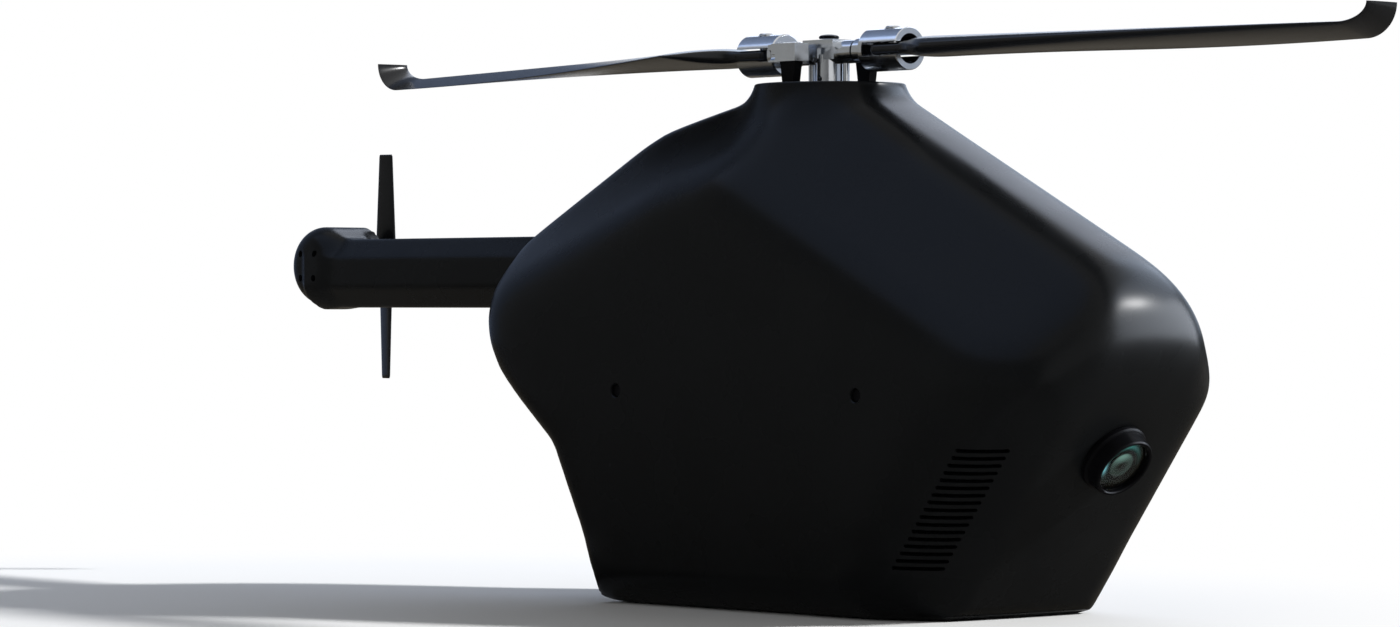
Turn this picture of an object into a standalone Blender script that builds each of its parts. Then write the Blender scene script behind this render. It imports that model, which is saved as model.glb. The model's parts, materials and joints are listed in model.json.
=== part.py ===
"""Small single-rotor helicopter drone.

A faceted one-piece pod holds a plate frame, a battery and a direct-drive motor. The mast carries
a two-blade head with a swashplate below it, and a boom carries the tail rotor.
Metres, +X to the nose, +Y to port, +Z up. The origin is on the belly, under the mast.
"""

import math

import bmesh
import bpy
import numpy as np
from mathutils import Matrix, Vector

MM = 0.001

# Clearances
GAP = 0.3 * MM
RUN_GAP = 0.5 * MM
SCREW_GAP = 0.2 * MM

# Pod: corners of the flat side panel as (X, Z), and the facets that leave it
POD_HALF_WIDTH = 33.8 * MM
POD_WALL = 2.0 * MM
PANEL_TOP_FRONT = (0.5 * MM, 93.0 * MM)
PANEL_NOSE = (81.0 * MM, 52.9 * MM)
PANEL_BEND_FOOT = (40.4 * MM, 0.0)
PANEL_REAR_FOOT = (-42.9 * MM, 0.0)
PANEL_KINK = (-59.7 * MM, 34.6 * MM)
PANEL_REAR = (-94.2 * MM, 62.4 * MM)
PANEL_TOP_REAR = (-21.0 * MM, 90.0 * MM)
VENT_FACET_TURN = math.radians(27.0)
REAR_FACE_X = -88.0 * MM
NOSE_SLOPE = 0.73
BAND_POINT = (31.1 * MM, 106.9 * MM)
BAND_SLOPE = 0.5
BAND_HALF_WIDTH = 9.2 * MM
REAR_BAND_START = (-18.0 * MM, 112.6 * MM)
REAR_BAND_FOLD = (-47.0 * MM, 106.4 * MM)
REAR_BAND_END = (-82.5 * MM, 83.3 * MM)
REAR_BAND_HALF_WIDTH = 10.0 * MM
COLLAR_RADIUS = 16.2 * MM
COLLAR_TOP = 116.2 * MM
COLLAR_FLARE = 6.2 * MM
KINK_FILLET = 1.2 * MM
PANEL_EDGE_RADIUS = 15.0 * MM
BEND_RADIUS = 22.0 * MM
RIDGE_RADIUS = 11.0 * MM
BROW_RADIUS = 20.0 * MM
NOSE_RADIUS = 12.0 * MM
REAR_EDGE_RADIUS = 9.0 * MM
HAUNCH_RADIUS = 13.5 * MM
HEEL_EDGE_RADIUS = 7.0 * MM
BELLY_EDGE_RADIUS = 8.0 * MM
BELLY_LIP = 4.0 * MM
POD_COLUMNS = 56

# Vent slots in each vent facet
VENT_COUNT = 17
VENT_LENGTH = 11.8 * MM
VENT_HEIGHT = 0.85 * MM
VENT_PITCH = 1.66 * MM
VENT_LEAN = 0.64
VENT_CENTRE = (68.1 * MM, 24.0 * MM)

# Lens and camera
LENS_POINT = (87.0 * MM, 35.4 * MM)
LENS_BASE_RADIUS = 8.0 * MM
LENS_RIM_RADIUS = 7.1 * MM
LENS_GLASS_RADIUS = 6.1 * MM
LENS_STEM_RADIUS = 6.0 * MM
LENS_BORE_RADIUS = 5.0 * MM
LENS_PROUD = 4.8 * MM
LENS_SEAT_DEPTH = 1.4 * MM
LENS_GLASS_EDGE = 0.5 * MM
LENS_GLASS_CROWN = 0.8 * MM
LENS_STEM = 7.0 * MM
CAMERA_DEPTH = 12.0 * MM
CAMERA_HALF_HEIGHT = 12.0 * MM

# Frame
SERVO_SIDE_GAP = 0.544 * MM
FRAME_PLATE = 1.6 * MM
FRAME_OUTLINE = [
    (-34.0 * MM, 3.0 * MM),
    (54.0 * MM, 3.0 * MM),
    (64.0 * MM, 16.0 * MM),
    (78.0 * MM, 36.0 * MM),
    (78.0 * MM, 53.0 * MM),
    (50.0 * MM, 62.0 * MM),
    (22.0 * MM, 88.0 * MM),
    (12.0 * MM, 95.0 * MM),
    (-12.0 * MM, 95.0 * MM),
    (-46.0 * MM, 88.0 * MM),
    (-62.0 * MM, 80.0 * MM),
    (-62.0 * MM, 62.0 * MM),
    (-50.0 * MM, 44.0 * MM),
    (-46.0 * MM, 34.0 * MM),
]
POST_RADIUS = 3.0 * MM
POST_Z = 47.8 * MM
POST_REAR_X = -33.9 * MM
POST_FRONT_X = 44.2 * MM
SIDE_HOLE_RADIUS = 1.5 * MM
SIDE_HOLE_DEPTH = 1.4 * MM
SIDE_SCREW_RADIUS = 0.8 * MM
SIDE_SCREW_HEAD_RADIUS = 1.3 * MM
SIDE_SCREW_HEAD = 0.5 * MM
SIDE_SCREW_LENGTH = 6.0 * MM

# Belly plate, tray, battery and boards
BELLY_PLATE = 2.6 * MM
BELLY_SCREW_RADIUS = 1.0 * MM
BELLY_SCREW_HEAD_RADIUS = 1.9 * MM
BELLY_SCREW_HEAD = 1.0 * MM
BELLY_SCREW_X = (-23.0 * MM, 41.0 * MM)
BELLY_SCREW_Y = 9.0 * MM
TRAY_HEIGHT = 3.5 * MM
TRAY_X = (-33.0 * MM, 53.0 * MM)
BATTERY_X = (-24.0 * MM, 43.0 * MM)
BATTERY_HALF_WIDTH = 13.0 * MM
BATTERY_HEIGHT = 29.0 * MM
SHELF_HEIGHT = 1.5 * MM
REAR_SHELF_X = (-48.0 * MM, -17.0 * MM)
FRONT_SHELF_X = (17.0 * MM, 54.0 * MM)
BOARD_INSET = 4.0 * MM
BOARD_HALF_WIDTH = 12.0 * MM
BOARD_HEIGHT = 6.0 * MM

# Drive: direct-drive motor under the mast
MAST_RADIUS = 2.25 * MM
MOUNT_TOP = 51.7 * MM
MOUNT_HEIGHT = 4.7 * MM
MOUNT_HALF_LENGTH = 14.0 * MM
BEARING_RADIUS = 4.2 * MM
MOTOR_RADIUS = 13.8 * MM
MOTOR_HEIGHT = 14.0 * MM
MOTOR_WALL = 2.4 * MM
STATOR_FLANGE = 1.5 * MM
UPPER_BLOCK_Z = (86.0 * MM, 93.0 * MM)

# Servos, swashplate and its travel
SERVO_RADIUS = 15.8 * MM
SERVO_ANGLES = {"rear": 180.0, "left": 40.0, "right": -40.0}
SERVO_HALF_WIDTH = 4.3 * MM
SERVO_REACH = SERVO_RADIUS * math.sin(math.radians(SERVO_ANGLES["left"])) + SERVO_HALF_WIDTH
FRAME_HALF_GAP = SERVO_REACH + SERVO_SIDE_GAP
SERVO_HEIGHT = 20.0 * MM
SERVO_TOP = 92.0 * MM
PUSHROD_RADIUS = 0.8 * MM
PUSHROD_DIP = 8.0 * MM
SWASH_TRAVEL = 1.4 * MM
SWASH_Z = 98.5 * MM
SWASH_RING_HEIGHT = 4.0 * MM
SWASH_INNER_RADIUS = 6.0 * MM
SWASH_OUTER_RADIUS = 9.0 * MM
SWASH_ARM_WIDTH = 3.6 * MM
SWASH_SLEEVE_RADIUS = 5.0 * MM
SWASH_SLEEVE_TOP = 108.6 * MM
SWASH_PIN_Z = 106.2 * MM
SWASH_PIN_RADIUS = 1.1 * MM

# Rotor head
HEAD_RISE = 7.0 * MM
ROTOR_Z = COLLAR_TOP + HEAD_RISE
HUB_HALF_LENGTH = 4.9 * MM
HUB_HALF_WIDTH = 3.5 * MM
HUB_SLEEVE_RADIUS = 2.6 * MM
HUB_REACH = 9.4 * MM
HUB_CAP = 2.8 * MM
HUB_TOP = ROTOR_Z + HUB_CAP
HUB_FLOOR_DROP = 2.3 * MM
HUB_FLOOR = ROTOR_Z - HUB_FLOOR_DROP
HUB_NECK_DROP = 8.2 * MM
HUB_NECK_FOOT = ROTOR_Z - HUB_NECK_DROP
HUB_NECK_RADIUS = 3.2 * MM
SPINDLE_RADIUS = 1.5 * MM
BUTTON_RADIUS = 2.25 * MM
BUTTON_HEIGHT = 1.0 * MM
GRIP_RADIUS = 4.75 * MM
GRIP_BORE_RADIUS = 3.2 * MM
GRIP_THRUST_GAP = 0.6 * MM
GRIP_START = HUB_REACH + GRIP_THRUST_GAP
GRIP_NECK_RADIUS = 2.9 * MM
GRIP_NECK_LENGTH = 4.0 * MM
GRIP_TUBE_START = GRIP_START + GRIP_NECK_LENGTH
GRIP_END = 26.0 * MM
GRIP_SLOT_START = 15.4 * MM
BLADE_ROOT = 17.0 * MM
BLADE_ROOT_THICKNESS = 2.5 * MM
BLADE_ROOT_HALF_WIDTH = 4.4 * MM
BLADE_BOLT_X = 20.7 * MM
BLADE_BOLT_RADIUS = 1.0 * MM
BLADE_BOLT_HEAD_RADIUS = 1.7 * MM
BLADE_BOLT_HEAD = 0.8 * MM
BLADE_BOLT_RECESS = 0.65 * MM
PITCH_ARM_Y = 7.5 * MM
PITCH_ARM_X = 4.35 * MM
PITCH_BLOCK_HALF_WIDTH = 2.1 * MM
PITCH_BLOCK_WALL = 0.6 * MM
PITCH_BLOCK_CHEEK = 1.5 * MM
PITCH_BLOCK_HALF_HEIGHT = 2.0 * MM
PITCH_LEG_WIDTH = 2.0 * MM
PITCH_LEG_SINK = 0.7 * MM
TRUNNION_DROP = 0.4 * MM
TRUNNION_Z = ROTOR_Z - TRUNNION_DROP
TRUNNION_RADIUS = 0.8 * MM
TRUNNION_RECESS = 0.5 * MM
CONTROL_ARM_CROWN = 1.1 * MM
CONTROL_ARM_TOP_WIDTH = 5.1 * MM
CONTROL_ARM_FOOT_WIDTH = 4.6 * MM
CONTROL_ARM_THICKNESS = 2.2 * MM
POCKET_NEAR = PITCH_ARM_X - CONTROL_ARM_TOP_WIDTH / 2 - GAP
POCKET_FAR = PITCH_ARM_X + CONTROL_ARM_TOP_WIDTH / 2 + GAP
POCKET_HALF_WIDTH = CONTROL_ARM_THICKNESS / 2 + RUN_GAP
POCKET_TOP = TRUNNION_Z + CONTROL_ARM_CROWN + RUN_GAP
PITCH_BLOCK_START = POCKET_NEAR - PITCH_BLOCK_WALL
PITCH_BLOCK_END = POCKET_FAR + PITCH_BLOCK_CHEEK
TRUNNION_END = PITCH_BLOCK_END - TRUNNION_RECESS
CONTROL_ARM_EYE = 1.55 * MM

# Main blades: leading edge to -Y on the front blade
ROTOR_RADIUS = 166.2 * MM
BLADE_SHOULDER = 29.0 * MM
BLADE_FULL_CHORD = 38.5 * MM
BLADE_ROOT_CHORD = 26.0 * MM
BLADE_SWELL = 4.4 * MM
BLADE_TIP_CHORD = 9.7 * MM
BLADE_TIP_THICKNESS = 0.9 * MM
BLADE_TIP_PITCH = math.radians(17.7)
BLADE_SWEEP = math.radians(2.9)
BLADE_DROOP = 1.0 * MM
BLADE_LEAD = 0.26
WINGLET_RUN = 8.0 * MM
WINGLET_RISE = 4.6 * MM

# Tail
BOOM_RADIUS = 8.6 * MM
BOOM_WALL = 1.4 * MM
BOOM_Z = 74.7 * MM
BOOM_FRONT_X = -47.0 * MM
CLAMP_X = (-62.0 * MM, -46.0 * MM)
CLAMP_WALL = 3.0 * MM
TAIL_X = -181.5 * MM
TAIL_Z = 76.6 * MM
TAIL_HOUSING_RADIUS = 9.75 * MM
TAIL_HOUSING_HALF_DEPTH = 8.7 * MM
TAIL_HOUSING_WALL = 1.6 * MM
TAIL_HOUSING_EDGE = 5.8 * MM
TAIL_SCREW_RECESS = 0.6 * MM
TAIL_CUP_RADIUS = 7.3 * MM
TAIL_SCREW_SPACING = 6.1 * MM
TAIL_HOLE_RADIUS = 0.85 * MM
TAIL_SCREW_RADIUS = 0.6 * MM
TAIL_MOTOR_RADIUS = 6.6 * MM
TAIL_MOTOR_BASE = 2.0 * MM
TAIL_BELL_LENGTH = 9.0 * MM
TAIL_SHAFT_RADIUS = 1.0 * MM
TAIL_ROTOR_Y = 16.0 * MM
TAIL_ROTOR_RADIUS = 28.3 * MM
TAIL_HUB_RADIUS = 3.2 * MM
TAIL_HUB_LENGTH = 3.6 * MM
TAIL_BLADE_ROOT_CHORD = 6.5 * MM
TAIL_BLADE_TIP_CHORD = 4.2 * MM
TAIL_BLADE_THICKNESS = 1.0 * MM
TAIL_BLADE_PITCH = math.radians(12.0)
TAIL_NUT_RADIUS = 2.4 * MM
TAIL_NUT_LENGTH = 2.2 * MM

SMOOTH_ANGLE = math.radians(32.0)
ROUND = 20
SMALL_ROUND = 12
SOLVE_STEPS = 40
AXES = {
    "X": Matrix(((0, 0, 1), (1, 0, 0), (0, 1, 0))).to_4x4(),
    "Y": Matrix(((0, 1, 0), (0, 0, 1), (1, 0, 0))).to_4x4(),
    "Z": Matrix.Identity(4),
}


def material(name, colour, roughness, metallic=0.0):
    """A Principled material with one linear colour."""
    made = bpy.data.materials.new(name)
    made.use_nodes = True
    shader = made.node_tree.nodes["Principled BSDF"]
    shader.inputs["Base Color"].default_value = (*colour, 1.0)
    shader.inputs["Roughness"].default_value = roughness
    shader.inputs["Metallic"].default_value = metallic
    return made


def add_object(name, shape, finish, origin=(0.0, 0.0, 0.0)):
    """Turn a bmesh in world coordinates into a named object whose origin is at the given point."""
    bmesh.ops.recalc_face_normals(shape, faces=shape.faces)
    bmesh.ops.translate(shape, verts=shape.verts, vec=-Vector(origin))
    mesh = bpy.data.meshes.new(name)
    shape.to_mesh(mesh)
    shape.free()
    mesh.shade_smooth()
    mesh.set_sharp_from_angle(angle=SMOOTH_ANGLE)
    mesh.materials.append(finish)
    made = bpy.data.objects.new(name, mesh)
    made.location = origin
    bpy.context.scene.collection.objects.link(made)
    return made


def combine(target, shape, operation, label):
    """Join a shape to an object, or cut it away, with a Boolean modifier."""
    cutter = add_object(f"{target.name}_{label}", shape, target.data.materials[0])
    cutter.hide_render = True
    cutter.display_type = "WIRE"
    change = target.modifiers.new(label, "BOOLEAN")
    change.operation = operation
    change.object = cutter


def block(low, high, bevel=0.0):
    """A box between two corners, with its edges broken where a bevel is given."""
    shape = bmesh.new()
    size = Vector(high) - Vector(low)
    middle = (Vector(high) + Vector(low)) / 2
    bmesh.ops.create_cube(shape, size=1.0, matrix=Matrix.Translation(middle) @ Matrix.Diagonal((*size, 1)))
    if bevel:
        bmesh.ops.bevel(shape, geom=shape.edges[:], offset=bevel, segments=1, affect="EDGES")
    return shape


def merged(*shapes):
    """Several bmeshes in one, as separate bodies of one cutter."""
    whole = bmesh.new()
    for shape in shapes:
        carrier = bpy.data.meshes.new("carrier")
        shape.to_mesh(carrier)
        shape.free()
        whole.from_mesh(carrier)
        bpy.data.meshes.remove(carrier)
    return whole


def turned(profile, place, segments=ROUND):
    """A closed (radius, height) outline spun about the Z axis of the given placement."""
    shape = bmesh.new()
    rings = []
    for radius, height in profile:
        count = segments if radius > 0 else 1
        ring = []
        for step in range(count):
            angle = 2 * math.pi * (step + 0.5) / segments
            point = Vector((radius * math.cos(angle), radius * math.sin(angle), height))
            ring.append(shape.verts.new(place @ point))
        rings.append(ring)
    for ring, after in zip(rings, rings[1:] + rings[:1]):
        if len(ring) == 1 and len(after) == 1:
            continue
        for step in range(segments):
            nxt = (step + 1) % segments
            corners = [ring[step % len(ring)], ring[nxt % len(ring)]]
            corners += [after[nxt % len(after)], after[step % len(after)]]
            shape.faces.new(list(dict.fromkeys(corners)))
    return shape


def rod(place, radius, low, high, segments=SMALL_ROUND):
    """A plain cylinder along the placement's Z axis."""
    return turned([(0, low), (radius, low), (radius, high), (0, high)], place, segments)


def tube(place, inner, outer, low, high, segments=ROUND):
    """A ring of square section about the placement's Z axis."""
    return turned([(inner, low), (outer, low), (outer, high), (inner, high)], place, segments)


def prism(outline, low, high, axis):
    """An outline carried along X, Y or Z; its two coordinates are the other axes in cyclic order."""
    shape = bmesh.new()
    ends = []
    for along in (low, high):
        ends.append([shape.verts.new(AXES[axis] @ Vector((a, b, along))) for a, b in outline])
    shape.faces.new(ends[0])
    shape.faces.new(ends[1])
    for index in range(len(outline)):
        after = (index + 1) % len(outline)
        shape.faces.new((ends[0][index], ends[0][after], ends[1][after], ends[1][index]))
    return shape


def loft(sections):
    """A solid through rings of points with as many points each, closed at both ends."""
    shape = bmesh.new()
    rings = [[shape.verts.new(point) for point in section] for section in sections]
    shape.faces.new(rings[0])
    shape.faces.new(rings[-1])
    for ring, after in zip(rings, rings[1:]):
        for index in range(len(ring)):
            nxt = (index + 1) % len(ring)
            shape.faces.new((ring[index], ring[nxt], after[nxt], after[index]))
    return shape


def along(axis, x=0.0, y=0.0, z=0.0):
    """A placement at a point whose Z axis runs along X, Y or Z."""
    return Matrix.Translation((x, y, z)) @ AXES[axis]


def facing(side):
    """No turn for the port side, and half a turn about the placement's X axis for starboard."""
    return Matrix.Rotation(0 if side > 0 else math.pi, 4, "X")


def mirrored_outline(outline):
    """(X, Z) points as the (Z, X) pairs that a prism along Y takes."""
    return [(z, x) for x, z in outline]


def plane_through(first, second, third):
    """Unit normal and offset of a plane through three points, facing away from the pod's middle."""
    first, second, third = (np.array(point, float) for point in (first, second, third))
    normal = np.cross(second - first, third - first)
    normal /= np.linalg.norm(normal)
    offset = normal @ first
    middle = np.array((0.0, 0.0, POST_Z))
    if normal @ middle > offset:
        return -normal, -offset
    return normal, offset


def on_panel(corner):
    return (corner[0], POD_HALF_WIDTH, corner[1])


def sloping(first, second):
    """The plane across the pod through two (X, Z) points."""
    return plane_through((first[0], 0, first[1]), (second[0], 0, second[1]), (first[0], MM, first[1]))


def pod_planes():
    """The pod's facets on the port half, each as a unit normal and an offset."""
    nose_x, nose_z = PANEL_NOSE
    turned_in = POD_HALF_WIDTH - math.sin(VENT_FACET_TURN) * MM
    turn = (nose_x + math.cos(VENT_FACET_TURN) * MM, turned_in, nose_z)
    lens_x, lens_z = LENS_POINT
    band_x, band_z = BAND_POINT
    rear_ridge = (REAR_BAND_FOLD[0], REAR_BAND_HALF_WIDTH, REAR_BAND_FOLD[1])
    collar_ridge = (REAR_BAND_START[0], REAR_BAND_HALF_WIDTH, REAR_BAND_START[1])
    return {
        "side": (np.array((0.0, 1.0, 0.0)), POD_HALF_WIDTH),
        "belly": (np.array((0.0, 0.0, -1.0)), 0.0),
        "front": sloping((lens_x, lens_z), (lens_x + NOSE_SLOPE * MM, lens_z + MM)),
        "vent": plane_through(on_panel(PANEL_NOSE), on_panel(PANEL_BEND_FOOT), turn),
        "band": sloping((band_x, band_z), (band_x + MM, band_z - BAND_SLOPE * MM)),
        "chamfer": plane_through(
            on_panel(PANEL_TOP_FRONT), on_panel(PANEL_NOSE), (band_x, BAND_HALF_WIDTH, band_z)
        ),
        "shoulder": plane_through(on_panel(PANEL_TOP_REAR), rear_ridge, collar_ridge),
        "quarter": plane_through(on_panel(PANEL_TOP_REAR), on_panel(PANEL_REAR), rear_ridge),
        "rear_band": sloping(REAR_BAND_START, REAR_BAND_FOLD),
        "tail_band": sloping(REAR_BAND_FOLD, REAR_BAND_END),
        "rear": (np.array((-1.0, 0.0, 0.0)), -REAR_FACE_X),
        "haunch": sloping(PANEL_KINK, PANEL_REAR),
        "heel": sloping(PANEL_REAR_FOOT, PANEL_KINK),
    }


EDGES = {
    ("side", "chamfer"): PANEL_EDGE_RADIUS,
    ("side", "shoulder"): PANEL_EDGE_RADIUS,
    ("side", "quarter"): PANEL_EDGE_RADIUS,
    ("chamfer", "shoulder"): PANEL_EDGE_RADIUS,
    ("shoulder", "quarter"): PANEL_EDGE_RADIUS,
    ("vent", "chamfer"): PANEL_EDGE_RADIUS,
    ("side", "vent"): BEND_RADIUS,
    ("rear_band", "tail_band"): BEND_RADIUS,
    ("chamfer", "band"): RIDGE_RADIUS,
    ("shoulder", "rear_band"): RIDGE_RADIUS,
    ("quarter", "tail_band"): RIDGE_RADIUS,
    ("band", "front"): BROW_RADIUS,
    ("chamfer", "front"): NOSE_RADIUS,
    ("vent", "front"): NOSE_RADIUS,
    ("side", "rear"): REAR_EDGE_RADIUS,
    ("quarter", "rear"): REAR_EDGE_RADIUS,
    ("tail_band", "rear"): REAR_EDGE_RADIUS,
    ("haunch", "rear"): REAR_EDGE_RADIUS,
    ("quarter", "haunch"): HAUNCH_RADIUS,
    ("haunch", "side"): HEEL_EDGE_RADIUS,
    ("heel", "belly"): BELLY_EDGE_RADIUS,
    ("side", "belly"): BELLY_EDGE_RADIUS,
    ("vent", "belly"): BELLY_EDGE_RADIUS,
    ("front", "belly"): BELLY_EDGE_RADIUS,
}


def blended_min(first, second, reach):
    """The smaller of two distances, with the corner between them filled over the given reach."""
    near = np.maximum(reach - np.abs(first - second), 0.0) / reach
    return np.minimum(first, second) - 0.25 * reach * near**2


def rounded_edge(first, second, cosine, radius):
    """Distance to two facets whose shared edge is a circular fillet of the given radius."""
    a = first + radius
    b = second + radius
    corner = (a > b * cosine) & (b > a * cosine)
    ridge = np.sqrt(np.maximum(a * a + b * b - 2 * a * b * cosine, 0.0) / (1 - cosine * cosine))
    return np.where(corner, ridge, np.maximum(a, b)) - radius


def pod_distance(x, y, z, belly):
    """Distance outside the pod: the farthest facet, with filleted edges and the collar's flare.

    Without the belly the walls run on downwards, so an outline there is a true offset of the sides.
    """
    planes = pod_planes()
    far = {}
    for name, (normal, offset) in planes.items():
        far[name] = normal[0] * x + normal[1] * np.abs(y) + normal[2] * z - offset
    if not belly:
        far["belly"] = np.full_like(z, TAIL_X)
    under = blended_min(far["haunch"], far["heel"], KINK_FILLET)
    far["haunch"] = under
    far["heel"] = under
    distance = np.max(np.stack(list(far.values())), axis=0)
    for (first, second), radius in EDGES.items():
        cosine = float(planes[first][0] @ planes[second][0])
        distance = np.maximum(distance, rounded_edge(far[first], far[second], cosine, radius))
    return blended_min(distance, np.hypot(x, y) - COLLAR_RADIUS, COLLAR_FLARE)


def pod_radius(angles, heights, inset, belly=True):
    """How far the pod reaches from the mast axis, by halving a bracket for every angle and height."""
    turn, height = np.meshgrid(angles, heights)
    low = np.zeros_like(turn)
    high = np.full_like(turn, -2 * TAIL_X)
    for _ in range(SOLVE_STEPS):
        middle = (low + high) / 2
        outside = pod_distance(middle * np.cos(turn), middle * np.sin(turn), height, belly) + inset > 0
        high = np.where(outside, middle, high)
        low = np.where(outside, low, middle)
    return low


def pod_angles():
    """Column angles that stand evenly around an ellipse, so they crowd at the nose and the rear."""
    turn = (np.arange(POD_COLUMNS) + 0.5) * 2 * math.pi / POD_COLUMNS
    return np.arctan2(POD_HALF_WIDTH * np.sin(turn), -REAR_FACE_X * np.cos(turn))


def steps_between(marks, counts):
    """Heights that split each stretch between the marks into the given number of steps."""
    stretches = [np.linspace(a, b, n, endpoint=False) for a, b, n in zip(marks, marks[1:], counts)]
    return np.concatenate(stretches + [np.array(marks[-1:])])


def ring_points(angles, radii, height):
    return [Vector((r * math.cos(a), r * math.sin(a), height)) for a, r in zip(angles, radii)]


def belly_outline(inset):
    """Outline of the belly opening, drawn in from the pod's sides by its edge, its lip and an inset."""
    angles = pod_angles()
    drawn_in = BELLY_EDGE_RADIUS + BELLY_LIP + inset
    return angles, pod_radius(angles, np.array([0.0]), drawn_in, belly=False)[0]


def pod_shape():
    """The pod's wall as rings: up the outside, down the inside, and back through the belly lip."""
    angles = pod_angles()
    marks = [PANEL_KINK[1], PANEL_REAR[1], PANEL_TOP_REAR[1], COLLAR_TOP - COLLAR_FLARE, COLLAR_TOP]
    outside = steps_between([0.0, BELLY_EDGE_RADIUS] + marks, (4, 3, 4, 6, 6, 4))
    inner_foot = [POD_WALL + GAP, BELLY_EDGE_RADIUS + POD_WALL]
    inside = steps_between(inner_foot + marks, (2, 2, 3, 4, 4, 2))
    rings = []
    for height, radii in zip(outside, pod_radius(angles, outside, 0.0)):
        rings.append(ring_points(angles, radii, height))
    for height, radii in zip(inside[::-1], pod_radius(angles, inside, POD_WALL)[::-1]):
        rings.append(ring_points(angles, radii, height))
    lip_angles, lip_radii = belly_outline(0.0)
    rings.append(ring_points(lip_angles, lip_radii, POD_WALL))
    rings.append(ring_points(lip_angles, lip_radii, 0.0))
    shape = bmesh.new()
    loops = [[shape.verts.new(point) for point in ring] for ring in rings]
    for loop, after in zip(loops, loops[1:] + loops[:1]):
        for index in range(POD_COLUMNS):
            nxt = (index + 1) % POD_COLUMNS
            shape.faces.new((loop[index], loop[nxt], after[nxt], after[index]))
    return shape


def vent_cutter(side):
    """The slots of one vent facet: bars along the facet, stepped down and back like its nose edge."""
    normal, offset = pod_planes()["vent"]
    out = Vector(normal)
    run = Vector((math.cos(VENT_FACET_TURN), -math.sin(VENT_FACET_TURN), 0.0))
    rise = out.cross(run)
    if rise.z < 0:
        rise = -rise
    x, z = VENT_CENTRE
    middle = Vector((x, (offset - out.x * x - out.z * z) / out.y, z))
    bars = bmesh.new()
    for index in range(VENT_COUNT):
        shift = (index - (VENT_COUNT - 1) / 2) * VENT_PITCH
        point = middle + rise * shift + run * (shift * VENT_LEAN)
        place = Matrix((run, rise, out)).transposed().to_4x4()
        place.translation = point
        size = Matrix.Diagonal((VENT_LENGTH, VENT_HEIGHT, 4 * POD_WALL, 1))
        bmesh.ops.create_cube(bars, size=1.0, matrix=place @ size)
    if side < 0:
        bmesh.ops.scale(bars, vec=(1, -1, 1), verts=bars.verts)
        bmesh.ops.reverse_faces(bars, faces=bars.faces)
    return bars


def lens_place():
    """A placement on the front face whose Z axis runs out along the lens."""
    out = Vector(pod_planes()["front"][0])
    across = Vector((0, 1, 0))
    place = Matrix((across, out.cross(across), out)).transposed().to_4x4()
    place.translation = (LENS_POINT[0], 0, LENS_POINT[1])
    return place


def build_pod(finishes):
    pod = add_object("pod_shell", pod_shape(), finishes["moulded_black"])
    holes = [vent_cutter(1), vent_cutter(-1)]
    holes.append(rod(lens_place(), LENS_STEM_RADIUS + GAP, -4 * POD_WALL, 4 * POD_WALL, ROUND))
    boom_hole = along("X", REAR_FACE_X, 0, BOOM_Z)
    holes.append(rod(boom_hole, BOOM_RADIUS + GAP, -BOOM_RADIUS, 2 * BOOM_RADIUS, ROUND))
    for x, side in side_screw_places():
        floor = POD_HALF_WIDTH - SIDE_HOLE_DEPTH
        place = along("Y", x, 0, POST_Z) @ facing(side)
        clear = SIDE_SCREW_RADIUS + SCREW_GAP
        inside = POD_HALF_WIDTH - 2 * POD_WALL
        outline = [(0, inside), (clear, inside), (clear, floor), (SIDE_HOLE_RADIUS, floor)]
        outline += [(SIDE_HOLE_RADIUS, POD_HALF_WIDTH + POD_WALL), (0, POD_HALF_WIDTH + POD_WALL)]
        holes.append(turned(outline, place, SMALL_ROUND))
    combine(pod, merged(*holes), "DIFFERENCE", "holes")


def side_screw_places():
    return [(x, side) for x in (POST_FRONT_X, POST_REAR_X) for side in (1, -1)]


def build_side_screws(finishes):
    for x, side in side_screw_places():
        seat = POD_HALF_WIDTH - SIDE_HOLE_DEPTH + GAP
        outline = [(0, seat - SIDE_SCREW_LENGTH), (SIDE_SCREW_RADIUS, seat - SIDE_SCREW_LENGTH)]
        outline += [(SIDE_SCREW_RADIUS, seat), (SIDE_SCREW_HEAD_RADIUS, seat)]
        outline += [(SIDE_SCREW_HEAD_RADIUS, seat + SIDE_SCREW_HEAD), (0, seat + SIDE_SCREW_HEAD)]
        place = along("Y", x, 0, POST_Z) @ facing(side)
        name = f"side_screw_{'front' if x > 0 else 'rear'}_{'left' if side > 0 else 'right'}"
        add_object(name, turned(outline, place, SMALL_ROUND), finishes["dark_steel"])


def belly_screw_places():
    return [(x, y) for x in BELLY_SCREW_X for y in (BELLY_SCREW_Y, -BELLY_SCREW_Y)]


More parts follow.
